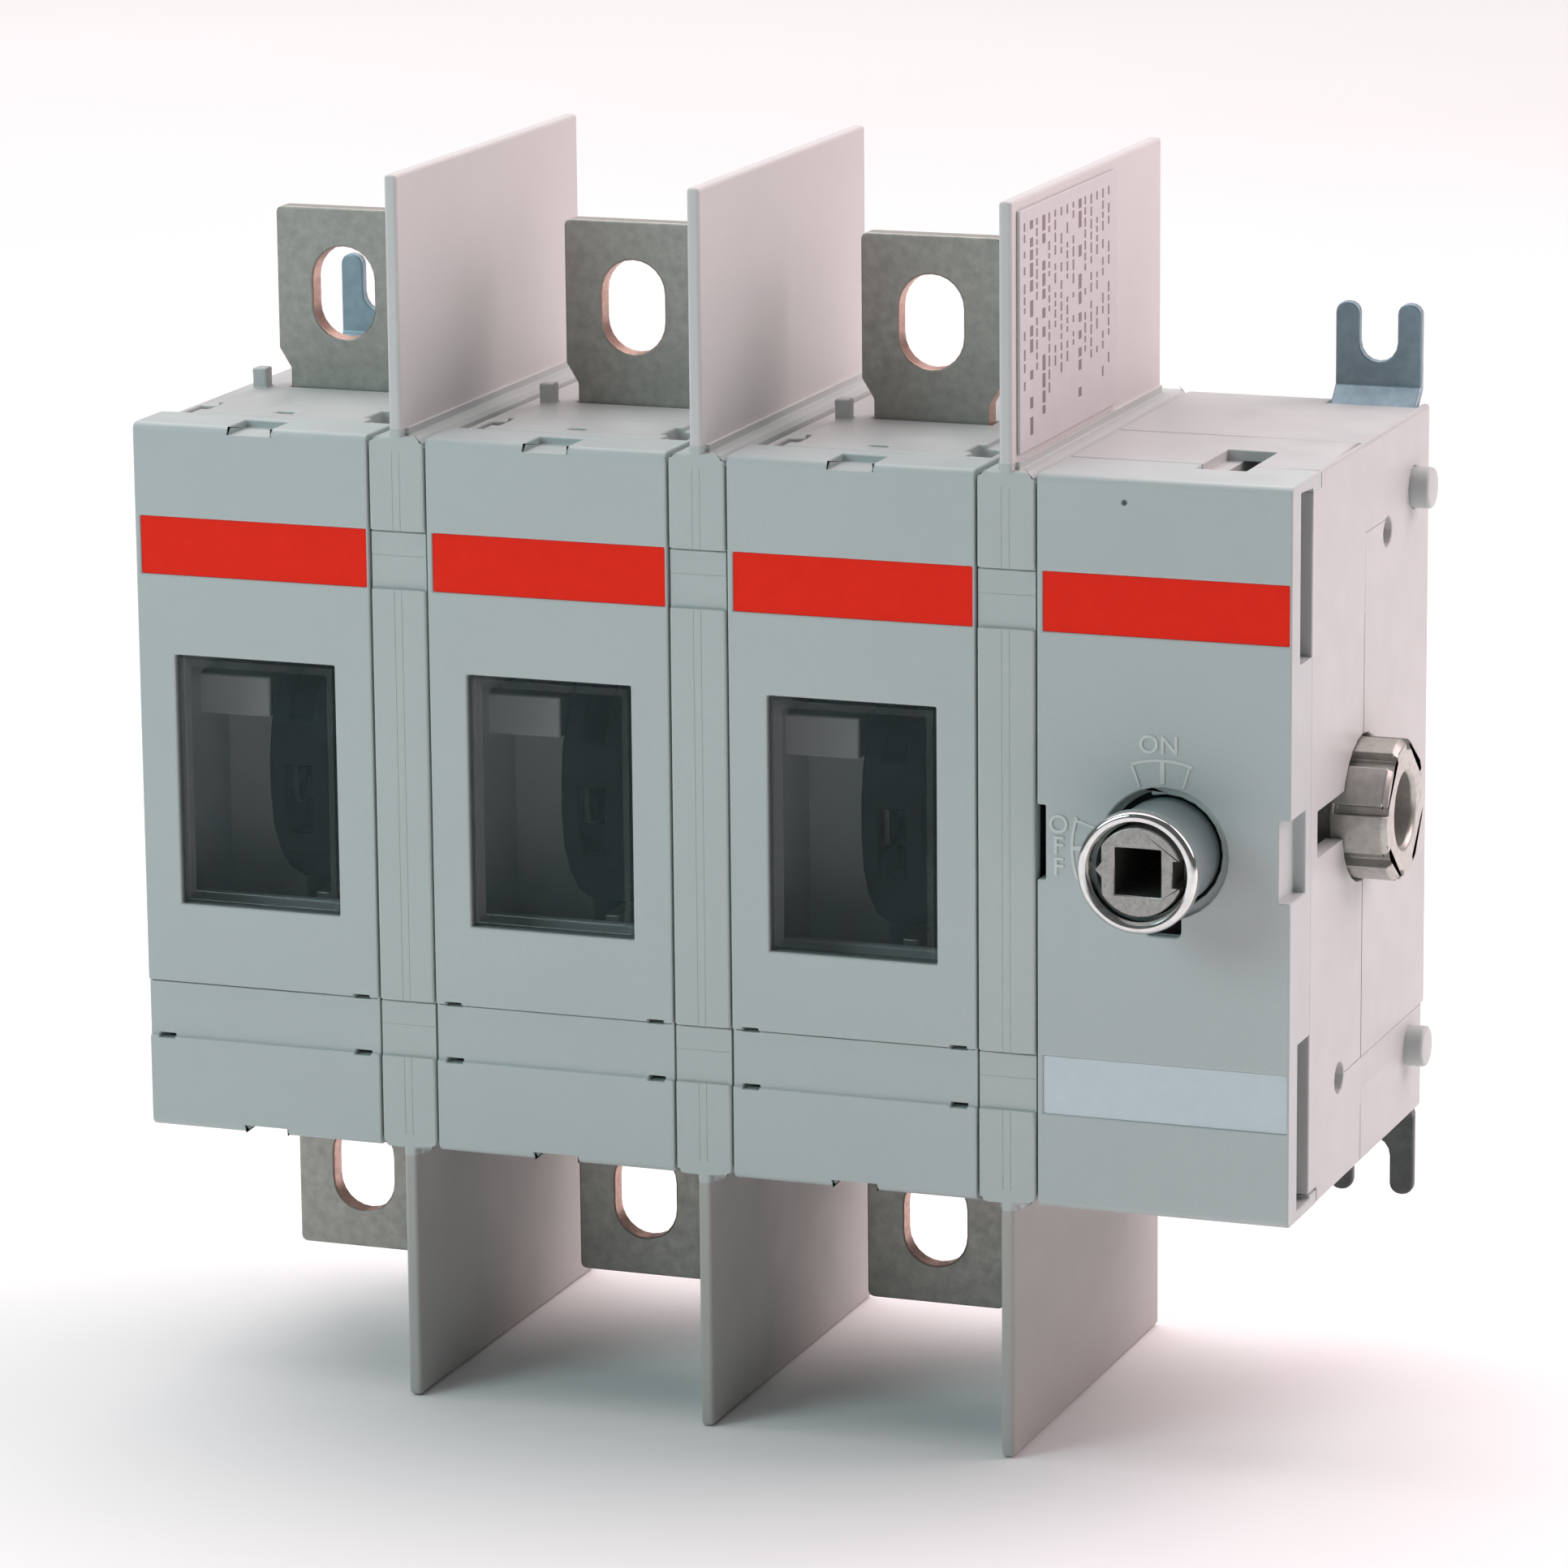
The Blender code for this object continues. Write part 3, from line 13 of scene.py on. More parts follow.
import bmesh
import bpy
from mathutils import Matrix, Vector


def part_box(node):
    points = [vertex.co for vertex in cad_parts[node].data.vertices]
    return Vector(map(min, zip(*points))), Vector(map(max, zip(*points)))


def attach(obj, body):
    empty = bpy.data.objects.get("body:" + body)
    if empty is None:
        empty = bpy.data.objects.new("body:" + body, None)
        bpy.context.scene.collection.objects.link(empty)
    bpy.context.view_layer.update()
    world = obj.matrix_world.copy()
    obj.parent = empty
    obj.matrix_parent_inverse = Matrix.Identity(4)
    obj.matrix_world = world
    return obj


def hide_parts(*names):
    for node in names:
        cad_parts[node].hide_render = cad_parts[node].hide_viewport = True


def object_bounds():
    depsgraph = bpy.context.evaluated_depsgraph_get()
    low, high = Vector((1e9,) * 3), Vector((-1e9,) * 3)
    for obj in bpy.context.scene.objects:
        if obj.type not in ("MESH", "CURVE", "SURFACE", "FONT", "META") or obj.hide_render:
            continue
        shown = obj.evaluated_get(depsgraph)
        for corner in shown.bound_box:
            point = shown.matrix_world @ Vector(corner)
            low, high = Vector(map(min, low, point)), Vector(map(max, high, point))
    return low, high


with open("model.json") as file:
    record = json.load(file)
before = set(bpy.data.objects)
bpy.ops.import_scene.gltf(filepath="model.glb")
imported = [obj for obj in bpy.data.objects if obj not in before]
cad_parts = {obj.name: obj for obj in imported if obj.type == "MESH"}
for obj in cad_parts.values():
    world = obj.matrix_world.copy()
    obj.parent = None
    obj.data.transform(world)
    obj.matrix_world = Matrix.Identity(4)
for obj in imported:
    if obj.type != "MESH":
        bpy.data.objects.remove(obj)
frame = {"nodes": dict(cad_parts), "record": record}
cad_low, cad_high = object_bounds()

MM = 0.001
POLES = ("a", "b", "c")
BODY_OF = {node: body for body, nodes in frame["record"]["behaviour"]["bodies"].items() for node in nodes}

# Places that the details are measured from
FRONT_Y = -69.0
MECHANISM_X = 66.0
SHAFT_Y = -34.0
BEYOND = 2.0

# Shared sizes of the mouldings
HALF_HEIGHT = 50.45
HALF_WIDTH = 17.65
GAP = 0.3
HAIRLINE = 0.015

# Rounding, by radius
COVER_TOP_CORNER = 1.1
COVER_SIDE_CORNER = 0.26
HOUSING_CORNER = 0.5
SPACER_CORNER = 0.35
PLATE_EDGE = 0.55
MOULDED_EDGE = 0.22
SOFT_EDGE = 0.3
SLIM_EDGE = 0.2
SHEET_EDGE = 0.25

# How edges are found and how much of the room beside them a rounding may take
SHARP_ANGLE = math.radians(28)
FLAT_ANGLE = math.radians(0.4)
STRAIGHT_SLACK = 0.002
SIDEWAYS_COSINE = 0.75
ROOM_SHARE = 0.42
PROBES = (0.04, 0.5, 0.96)
NO_LIMIT = 1.0
TINY = 1e-7
ON_PLANE = 2e-6

# Camera
CAMERA_PLACE = (0.34397, -0.96057, 0.22289)
CAMERA_TARGET = (0.00124, -0.03934, -0.00147)
CAMERA_ROLL = -0.538
CAMERA_LENS = 165.4
SENSOR_WIDTH = 36.0


# ---------------------------------------------------------------- closed shapes


def finished(shape):
    """Turns a bmesh in millimetres into a mesh in metres, with its faces pointing out."""
    bmesh.ops.recalc_face_normals(shape, faces=shape.faces)
    bmesh.ops.scale(shape, vec=(MM, MM, MM), verts=shape.verts)
    mesh = bpy.data.meshes.new("shape")
    shape.to_mesh(mesh)
    shape.free()
    return mesh


def prism(axis, outline, start, end):
    """Extrudes an outline along an axis. Its points are in the two other axes, in X, Y, Z order."""
    along = "XYZ".index(axis)
    first, second = [i for i in range(3) if i != along]
    shape = bmesh.new()
    ends = []
    for level in (start, end):
        ring = []
        for a, b in outline:
            point = [0.0, 0.0, 0.0]
            point[first] = a
            point[second] = b
            point[along] = level
            ring.append(shape.verts.new(point))
        shape.faces.new(ring)
        ends.append(ring)
    for i in range(len(outline)):
        j = (i + 1) % len(outline)
        shape.faces.new((ends[0][i], ends[0][j], ends[1][j], ends[1][i]))
    return finished(shape)


def block(x, y, z):
    """A box between two limits on each axis."""
    return prism("Z", [(x[0], y[0]), (x[1], y[0]), (x[1], y[1]), (x[0], y[1])], z[0], z[1])


def bevel_edges(shape, edges, radius, segments):
    bmesh.ops.bevel(
        shape,
        geom=edges,
        offset=radius * MM,
        segments=segments,
        profile=0.5,
        affect="EDGES",
        clamp_overlap=True,
    )


def rounded_block(x, y, z, radius, segments=4, along_x=None):
    """A box with every edge rounded. The edges that run along X may have a radius of their own."""
    shape = bmesh.new()
    shape.from_mesh(block(x, y, z))
    if along_x:
        level = [edge for edge in shape.edges if abs(edge.verts[0].co.x - edge.verts[1].co.x) > MM]
        bevel_edges(shape, level, along_x, segments + 2)
        rims = [edge for edge in shape.edges if abs(edge.verts[0].co.x - edge.verts[1].co.x) < 0.001 * MM]
        bevel_edges(shape, rims, radius, segments)
    else:
        bevel_edges(shape, shape.edges[:], radius, segments)
    mesh = bpy.data.meshes.new("rounded")
    shape.to_mesh(mesh)
    shape.free()
    return mesh


def arc(centre, radius, start, end, steps):
    """Points on an arc, with its angles in degrees."""
    points = []
    for i in range(steps + 1):
        angle = math.radians(start + (end - start) * i / steps)
        points.append((centre[0] + radius * math.cos(angle), centre[1] + radius * math.sin(angle)))
    return points


def rod(axis, centre, radius, start, end, sides=64):
    return prism(axis, arc(centre, radius, 0, 360, sides)[:-1], start, end)


def turned(axis, centre, profile, sides=96):
    """Turns a closed outline of (radius, place along the axis) about an axis."""
    along = "XYZ".index(axis)
    first, second = [i for i in range(3) if i != along]
    shape = bmesh.new()
    rings = []
    for i in range(sides):
        angle = 2 * math.pi * i / sides
        ring = []
        for radius, level in profile:
            point = [0.0, 0.0, 0.0]
            point[first] = centre[0] + radius * math.cos(angle)
            point[second] = centre[1] + radius * math.sin(angle)
            point[along] = level
            ring.append(shape.verts.new(point))
        rings.append(ring)
    for here, after in zip(rings, rings[1:] + rings[:1]):
        for j in range(len(profile)):
            k = (j + 1) % len(profile)
            shape.faces.new((here[j], here[k], after[k], after[j]))
    return finished(shape)


def merged(meshes, weld=False):
    """Puts several meshes in one, and joins the vertices that meet if weld is set."""
    shape = bmesh.new()
    for mesh in meshes:
        shape.from_mesh(mesh)
    if weld:
        bmesh.ops.remove_doubles(shape, verts=shape.verts, dist=0.001 * MM)
    made = bpy.data.meshes.new("merged")
    shape.to_mesh(made)
    shape.free()
    return made


def combined(target, meshes, operation):
    """Runs one exact Boolean between a mesh and all the closed shapes in a list."""
    body = bpy.data.objects.new("target", target)
    tool = bpy.data.objects.new("tool", merged(meshes))
    for item in (body, tool):
        bpy.context.scene.collection.objects.link(item)
    boolean = body.modifiers.new("boolean", "BOOLEAN")
    boolean.operation = operation
    boolean.solver = "EXACT"
    boolean.use_self = len(meshes) > 1
    boolean.object = tool
    graph = bpy.context.evaluated_depsgraph_get()
    result = bpy.data.meshes.new_from_object(body.evaluated_get(graph))
    for item in (body, tool):
        bpy.data.objects.remove(item, do_unlink=True)
    return result


def cad_mesh(node):
    """A CAD node's mesh with its split vertices joined and its flat faces whole."""
    shape = bmesh.new()
    shape.from_mesh(frame["nodes"][node].data)
    bmesh.ops.remove_doubles(shape, verts=shape.verts, dist=0.002 * MM)
    bmesh.ops.dissolve_limit(shape, angle_limit=FLAT_ANGLE, verts=shape.verts, edges=shape.edges)
    mesh = bpy.data.meshes.new(node + "_base")
    shape.to_mesh(mesh)
    shape.free()
    return mesh


def limits(node):
    """A CAD node's box in millimetres, as (low, high) for X, Y and Z."""
    low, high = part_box(node)
    return [(low[i] / MM, high[i] / MM) for i in range(3)]


def middle_planes(node, axes):
    """Planes across the middle of a node's box."""
    box = limits(node)
    return [(axis, sum(box["XYZ".index(axis)]) / 2) for axis in axes]


def both_ways(x, y, z):
    """A box and its mirror image in Z."""
    return [block(x, y, z), block(x, y, (-z[1], -z[0]))]


# ---------------------------------------------------------------- rounded edges


def parted(mesh, planes):
    """Cuts a mesh's faces along planes and joins their other flat parts, so that none has a hole."""
    shape = bmesh.new()
    shape.from_mesh(mesh)
    for axis, level in planes:
        normal = Vector([float(axis == name) for name in "XYZ"])
        geometry = shape.verts[:] + shape.edges[:] + shape.faces[:]
        place = normal * level * MM
        bmesh.ops.bisect_plane(shape, geom=geometry, dist=TINY, plane_co=place, plane_no=normal)
    levels = [("XYZ".index(axis), level * MM) for axis, level in planes]
    loose = []
    for edge in shape.edges:
        on_plane = any(all(abs(vert.co[i] - at) < ON_PLANE for vert in edge.verts) for i, at in levels)
        if not on_plane and len(edge.link_faces) == 2 and edge.calc_face_angle(0.0) < FLAT_ANGLE:
            loose.append(edge)
    bmesh.ops.dissolve_edges(shape, edges=loose, use_verts=False)
    straight = []
    for vert in shape.verts:
        if len(vert.link_edges) == 2:
            first, second = (edge.other_vert(vert).co - vert.co for edge in vert.link_edges)
            if first.angle(second, 0.0) > math.pi - STRAIGHT_SLACK:
                straight.append(vert)
    bmesh.ops.dissolve_verts(shape, verts=straight)
    shape.to_mesh(mesh)
    shape.free()


def is_sharp(edge):
    return len(edge.link_faces) == 2 and edge.calc_face_angle(0.0) > SHARP_ANGLE


def room_at_ends(edge):
    """The length of the shortest sharp edge that leaves this one sideways."""
    along = (edge.verts[1].co - edge.verts[0].co).normalized()
    room = NO_LIMIT
    for vert in edge.verts:
        for other in vert.link_edges:
            if other is edge or not is_sharp(other):
                continue
            way = other.other_vert(vert).co - vert.co
            if abs(way.normalized().dot(along)) < SIDEWAYS_COSINE:
                room = min(room, way.length)
    return room


def room_across(edge):
    """How far an edge can move into the two faces beside it before it meets their other sides."""
    low, high = edge.verts[0].co, edge.verts[1].co
    along = (high - low).normalized()
    room = NO_LIMIT
    for face in edge.link_faces:
        inward = face.normal.cross(along)
        for loop in face.loops:
            if loop.edge is edge:
                inward *= 1.0 if loop.vert is edge.verts[0] else -1.0
        for other in face.edges:
            if other is edge:
                continue
            for share in PROBES:
                room = min(room, reach(low.lerp(high, share), inward, along, other))
    return room


def reach(point, way, along, edge):
    """The distance from a point to an edge in a given direction, or NO_LIMIT when it is not met."""
    first, second = edge.verts[0].co - point, edge.verts[1].co - point
    a, b = first.dot(along), second.dot(along)
    if a * b > 0 or abs(a - b) < 0.01 * TINY:
        return NO_LIMIT
    met = first.lerp(second, a / (a - b)).dot(way)
    return met if met > TINY else NO_LIMIT


def in_any_box(point, boxes):
    return any(all(low <= value / MM <= high for value, (low, high) in zip(point, box)) for box in boxes)


def weigh_edges(mesh, width, flush=()):
    """Gives each sharp edge a bevel weight that keeps its rounding inside the room beside it.

    Edges that lie in one of the flush boxes stay as they are.
    """
    shape = bmesh.new()
    shape.from_mesh(mesh)
    layer = shape.edges.layers.float.new("bevel_weight_edge")
    for edge in shape.edges:
        kept = all(in_any_box(vert.co, flush) for vert in edge.verts)
        if is_sharp(edge) and not kept:
            room = min(room_at_ends(edge), room_across(edge))
            edge[layer] = min(1.0, ROOM_SHARE * room / (width * MM))
    shape.to_mesh(mesh)
    shape.free()


def add_piece(name, mesh, look, node, edge=MOULDED_EDGE, segments=2, stands_for=True, flush=(), planes=()):
    """Adds a finished piece, which rides on its CAD node's body and takes that node's place."""
    piece = bpy.data.objects.new(name, mesh)
    bpy.context.scene.collection.objects.link(piece)
    if planes:
        parted(mesh, planes)
    mesh.shade_smooth()
    mesh.set_sharp_from_angle(angle=SHARP_ANGLE)
    mesh.materials.clear()
    for one in look if isinstance(look, list) else [look]:
        mesh.materials.append(one)
    if edge:
        weigh_edges(mesh, edge, flush)
        bevel = piece.modifiers.new("rounding", "BEVEL")
        bevel.limit_method = "WEIGHT"
        bevel.width = edge * MM
        bevel.segments = segments
        bevel.use_clamp_overlap = False
        bevel.loop_slide = False
    normals = piece.modifiers.new("normals", "WEIGHTED_NORMAL")
    normals.mode = "FACE_AREA"
    normals.weight = 100
    normals.keep_sharp = True
    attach(piece, BODY_OF[node])
    if stands_for:
        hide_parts(node)
    return piece


# ---------------------------------------------------------------- materials


class Look:
    """A node material under construction, with short ways to add the nodes it is made of."""

    def __init__(self, name):
        self.material = bpy.data.materials.new(name)
        self.material.use_nodes = True
        self.tree = self.material.node_tree
        self.shader = self.tree.nodes["Principled BSDF"]
        self.place = self.add("ShaderNodeTexCoord").outputs["Object"]

    def add(self, kind, **settings):
        made = self.tree.nodes.new(kind)
        for key, value in settings.items():
            setattr(made, key, value)
        return made

    def join(self, output, target):
        self.tree.links.new(output, target)

    def constant(self, socket, value):
        self.shader.inputs[socket].default_value = value

    def stretched(self, x, y, z):
        """The object's coordinates, scaled by a factor on each axis."""
        mapping = self.add("ShaderNodeMapping")
        mapping.inputs["Scale"].default_value = (x, y, z)
        self.join(self.place, mapping.inputs["Vector"])
        return mapping.outputs["Vector"]

    def noise(self, size, detail=3.0, where=None, roughness=0.55):
        """Noise whose features are about size millimetres across."""
        made = self.add("ShaderNodeTexNoise")
        made.inputs["Scale"].default_value = 1.0 / (size * MM)
        made.inputs["Detail"].default_value = detail
        made.inputs["Roughness"].default_value = roughness
        self.join(where or self.place, made.inputs["Vector"])
        return made.outputs["Fac"]

    def ramp(self, value, low, high, start=0.3, end=0.7):
        """Maps a value between start and end to one between low and high."""
        made = self.add("ShaderNodeMapRange")
        made.inputs["From Min"].default_value = start
        made.inputs["From Max"].default_value = end
        made.inputs["To Min"].default_value = low
        made.inputs["To Max"].default_value = high
        self.join(value, made.inputs["Value"])
        return made.outputs["Result"]

    def blend(self, amount, first, second):
        """Mixes two colours, each a fixed colour or another node's output."""
        made = self.add("ShaderNodeMix", data_type="RGBA")
        self.join(amount, made.inputs["Factor"])
        for socket, colour in ((made.inputs[6], first), (made.inputs[7], second)):
            if isinstance(colour, tuple):
                socket.default_value = (*colour, 1.0)
            else:
                self.join(colour, socket)
        return made.outputs[2]

    def bump(self, height, strength, depth, below=None):
        made = self.add("ShaderNodeBump")
        made.inputs["Strength"].default_value = strength
        made.inputs["Distance"].default_value = depth * MM
        self.join(height, made.inputs["Height"])
        if below:
            self.join(below, made.inputs["Normal"])
        return made.outputs["Normal"]

    def finish(self, colour, roughness, normal=None):
        self.join(colour, self.shader.inputs["Base Color"])
        self.join(roughness, self.shader.inputs["Roughness"])
        if normal:
            self.join(normal, self.shader.inputs["Normal"])
        return self.material


def shade(colour, factor):
    return tuple(part * factor for part in colour)


def plastic(name, colour, roughness=0.42, grain=0.22, depth=0.02, specular=0.5):
    """Moulded plastic: a fine spark-eroded grain, faint flow marks and a little colour drift."""
    look = Look(name)
    drift = look.noise(22.0, 4.0)
    tint = look.blend(look.ramp(drift, 0.0, 1.0), shade(colour, 0.965), shade(colour, 1.02))
    speck = look.blend(look.ramp(look.noise(0.35, 2.0), 0.0, 1.0, 0.35, 0.65), tint, shade(colour, 0.97))
    sheen = look.ramp(look.noise(6.0, 5.0), roughness - 0.05, roughness + 0.07)
    grained = look.bump(look.noise(grain, 2.0), 0.35, depth)
    waved = look.bump(look.noise(9.0, 2.0), 0.25, 0.05, grained)
    look.constant("IOR", 1.5)
    look.constant("Specular IOR Level", specular)
    return look.finish(speck, sheen, waved)


def label_film(name, colour, roughness, specular=0.5):
    """Printed film: even colour with fibres too fine to see, and a slight orange peel."""
    look = Look(name)
    look.constant("Specular IOR Level", specular)
    tint = look.blend(look.ramp(look.noise(3.0, 5.0), 0.0, 1.0), shade(colour, 0.95), colour)
    sheen = look.ramp(look.noise(1.5, 3.0), roughness - 0.04, roughness + 0.05)
    peel = look.bump(look.noise(0.8, 2.0), 0.2, 0.01)
    return look.finish(tint, sheen, peel)


def metal(name, light, dark, roughness, patch=2.5, grain=0.3, depth=0.01, metallic=1.0):
    """Plated or cast metal: cloudy patches in its colour and gloss, over a fine grain."""
    look = Look(name)
    clouds = look.noise(patch, 6.0, roughness=0.65)
    grains = look.noise(grain, 3.0)
    tint = look.blend(look.ramp(clouds, 0.0, 1.0, 0.28, 0.72), dark, light)
    speck = look.blend(look.ramp(grains, 0.0, 0.35, 0.45, 0.75), tint, dark)
    sheen = look.ramp(clouds, roughness + 0.08, roughness - 0.04, 0.28, 0.72)
    grained = look.bump(grains, 0.35, depth)
    look.constant("Metallic", metallic)
    return look.finish(speck, sheen, grained)


def chrome(name):
    look = Look(name)
    wear = look.noise(1.8, 5.0, look.stretched(1, 6, 1))
    tint = look.blend(look.ramp(wear, 0.0, 1.0), (0.62, 0.63, 0.62), (0.80, 0.80, 0.78))
    sheen = look.ramp(look.noise(0.5, 4.0), 0.06, 0.17)
    dents = look.bump(look.noise(1.2, 2.0), 0.12, 0.02)
    look.constant("Metallic", 1.0)
    return look.finish(tint, sheen, dents)


def smoky_lens(name, light, dark, alpha):
    """Clear grey plastic, part see-through."""
    look = Look(name)
    haze = look.noise(7.0, 4.0)
    tint = look.blend(look.ramp(haze, 0.0, 1.0), dark, light)
    sheen = look.ramp(look.noise(2.5, 4.0), 0.04, 0.10)
    clear = look.ramp(haze, alpha - 0.02, alpha + 0.02)
    look.join(clear, look.shader.inputs["Alpha"])
    look.constant("IOR", 1.58)
    return look.finish(tint, sheen, look.bump(look.noise(14.0, 1.0), 0.2, 0.1))


COVER_GREY = (0.500, 0.550, 0.548)
BASE_GREY = (0.530, 0.550, 0.545)
BARRIER_GREY = (0.505, 0.550, 0.540)


def make_looks():
    return {
        "cover": plastic("cover_plastic", COVER_GREY, 0.44),
        "base": plastic("base_plastic", BASE_GREY, 0.40),
        "barrier": plastic("barrier_plastic", BARRIER_GREY, 0.42),
        # The barrier plates share the barrier's plastic. Above the body they get a lighter copy of it as
        # painted light, and below it a darker copy as painted shade.
        "plate": plastic("barrier_plate_plastic", (0.64, 0.635, 0.63), 0.55, specular=0.35),
        "low_plate": plastic("painted_shade_plate_plastic", (0.45, 0.445, 0.425), 0.55, specular=0.3),
        "sleeve": plastic("sleeve_plastic", (0.25, 0.31, 0.32), 0.34, 0.4),
        "rotor": plastic("rotor_plastic", (0.005, 0.007, 0.007), 0.62, 1.4, 0.002, 0.08),
        "mark": plastic("mark_plastic", (0.66, 0.69, 0.68), 0.38),
        "lens": smoky_lens("smoky_lens", (0.020, 0.060, 0.066), (0.010, 0.038, 0.040), 0.16),
        "lens_edge": smoky_lens("smoky_lens_edge", (0.11, 0.13, 0.13), (0.07, 0.085, 0.085), 0.42),
        "red": label_film("red_film", (0.93, 0.023, 0.008), 0.45, 0.14),
        "white": label_film("white_film", (0.64, 0.72, 0.76), 0.46, 0.3),
        "paper": label_film("rating_film", (0.62, 0.61, 0.62), 0.5, 0.3),
        "ink": label_film("grey_ink", (0.24, 0.19, 0.19), 0.5),
        "copper": metal("tinned_copper", (0.42, 0.41, 0.38), (0.31, 0.31, 0.285), 0.44, 1.6, 0.2),
        "bare_copper": metal("cut_copper", (0.72, 0.47, 0.39), (0.50, 0.33, 0.28), 0.40, 0.9, 0.2),
        "contact": metal("silvered_copper", (0.34, 0.31, 0.29), (0.22, 0.20, 0.19), 0.34),
        "chute": metal("arc_chute_steel", (0.26, 0.25, 0.24), (0.12, 0.12, 0.12), 0.5),
        "chrome": chrome("chromed_steel"),
        "socket": metal("sintered_socket", (0.46, 0.45, 0.43), (0.30, 0.30, 0.29), 0.40, 0.5, 0.14, 0.02),
        "steel": metal("gear_steel", (0.46, 0.46, 0.47), (0.28, 0.28, 0.29), 0.34),
        "coupling": metal(
            "cast_zinc", (0.56, 0.56, 0.52), (0.40, 0.405, 0.375), 0.34, 1.3, 0.35, 0.03, 0.6
        ),
        "zinc": metal("zinc_plate", (0.29, 0.40, 0.46), (0.21, 0.30, 0.35), 0.38, 2.4, 0.25, 0.01, 0.45),
        # A darker copy of the zinc plate for the lower feet: painted shade, because they sit in the body's
        # shadow.
        "dull_zinc": metal(
            "painted_shade_zinc_plate", (0.12, 0.135, 0.135), (0.07, 0.08, 0.08), 0.42, 2.4, 0.25, metallic=0.45
        ),
        "spring": metal("spring_steel", (0.34, 0.34, 0.36), (0.20, 0.20, 0.22), 0.34),
    }


NODE_LOOKS = {
    "cover_plastic": "cover",
    "base_plastic": "base",
    "barrier_plastic": "barrier",
    "sleeve_plastic": "sleeve",
    "smoky_lens": "lens",
    "red_label": "red",
    "white_label": "white",
    "tinned_copper": "copper",
    "silvered_copper": "contact",
    "dark_plastic": "rotor",
    "arc_chute": "chute",
    "chromed_steel": "chrome",
    "drive_socket_metal": "socket",
    "gear_steel": "steel",
    "cast_coupling": "coupling",
    "zinc_plate": "zinc",
    "spring_steel": "spring",
}


def slots_of_nodes():
    """The record's material slot of each CAD node, from the node's own material."""
    found = {}
    for name, item in frame["nodes"].items():
        found[name] = item.data.materials[0].name.split(".")[0]
    return found


SLOT_OF = slots_of_nodes()


# ---------------------------------------------------------------- covers

UPPER_BAND = (29.15, 37.35)
LOWER_BAND = (-37.3, -29.2)
BAND_DEPTH = 0.5
LEDGE_LINE = 0.25
LEDGE_LINE_INSET = 0.4
SLIT_WIDTH = 2.4
SLIT_HEIGHT = 0.7
SLIT_DEPTH = 2.4
SLIT_INSET = 1.4


def cover_envelope(node):
    """A box as large as a cover, rounded all round but square at its back."""
    x, y, z = limits(node)
    behind = y[1] + 3 * COVER_TOP_CORNER
    return rounded_block(x, (y[0], behind), z, COVER_SIDE_CORNER, 3, COVER_TOP_CORNER)


def band_slits(x, at_left, at_right):
    """Cutters for the short slits at the ends of the lower band's two edges."""
    cutters = []
    for edge_z, left, right in zip(LOWER_BAND, at_left, at_right):
        height = (edge_z - SLIT_HEIGHT / 2, edge_z + SLIT_HEIGHT / 2)
        depth = (FRONT_Y - BEYOND, FRONT_Y + SLIT_DEPTH)
        if left:
            near = x[0] + SLIT_INSET
            cutters.append(block((near, near + SLIT_WIDTH), depth, height))
        if right:
            far = x[1] - SLIT_INSET
            cutters.append(block((far - SLIT_WIDTH, far), depth, height))
    return cutters


def ledge_lines(x, front, bands, inset):
    """Cutters for the fine groove under the upper edge of each sunk band, inset from both sides."""
    across = (x[0] + inset, x[1] - inset)
    deep = (front - BEYOND, front + BAND_DEPTH + LEDGE_LINE)
    return [block(across, deep, (band[1] - LEDGE_LINE, band[1])) for band in bands]


def pole_cover(node):
    x = limits(node)[0]
    first = node == "pole_a_cover"
    slits = band_slits(x, (True, not first), (True, True))
    slits += ledge_lines(x, FRONT_Y, [LOWER_BAND], LEDGE_LINE_INSET)
    shape = combined(cad_mesh(node), slits, "DIFFERENCE")
    return combined(shape, [cover_envelope(node)], "INTERSECT")


def add_pole_covers(looks):
    for pole in POLES:
        node = f"pole_{pole}_cover"
        planes = middle_planes(node, "XZ")
        add_piece(f"pole_{pole}_cover_shell", pole_cover(node), looks["cover"], node, planes=planes)


COVER_JOINT_Y = -59.5
SIDE_WALL = 2.0
SLOT_END_Z = (-25.8, 26.0)
LIP_DROP = 1.0
OVERLAP = 0.1
PIT_X = MECHANISM_X - 5.5
PIT_Z = 47.2
PIT_RADIUS = 0.42
PIT_DEPTH = 0.9


def mechanism_cover():
    """The mechanism's cover, with a small pit in front and narrow joints where it meets the housing."""
    node = "mechanism_cover"
    pit = rod("Y", (PIT_X, PIT_Z), PIT_RADIUS, FRONT_Y - BEYOND, FRONT_Y + PIT_DEPTH, 8)
    shape = combined(cad_mesh(node), [pit], "DIFFERENCE")
    x, y, z = limits(node)
    wall = (x[1] - SIDE_WALL, x[1])
    skirt = block(wall, (COVER_JOINT_Y - GAP - OVERLAP, COVER_JOINT_Y - HAIRLINE), SLOT_END_Z)
    lip = block(wall, (COVER_JOINT_Y, y[1]), (z[1] - SIDE_WALL - GAP + HAIRLINE, z[1] - LIP_DROP))
    shape = combined(shape, [skirt, lip], "UNION")
    return combined(shape, [cover_envelope(node)], "INTERSECT")


# ---------------------------------------------------------------- lenses


LENS_GAP = 0.15
LENS_RIM_WIDTH = 0.5
LENS_SLOPE = 1.1
LENS_FIELD_DEPTH = 0.9
LENS_FLANGE = 1.4
LENS_FLANGE_THICKNESS = 1.2
LENS_CORNER = 0.25
LENS_EDGE = 0.12
LENS_FACING = 0.8


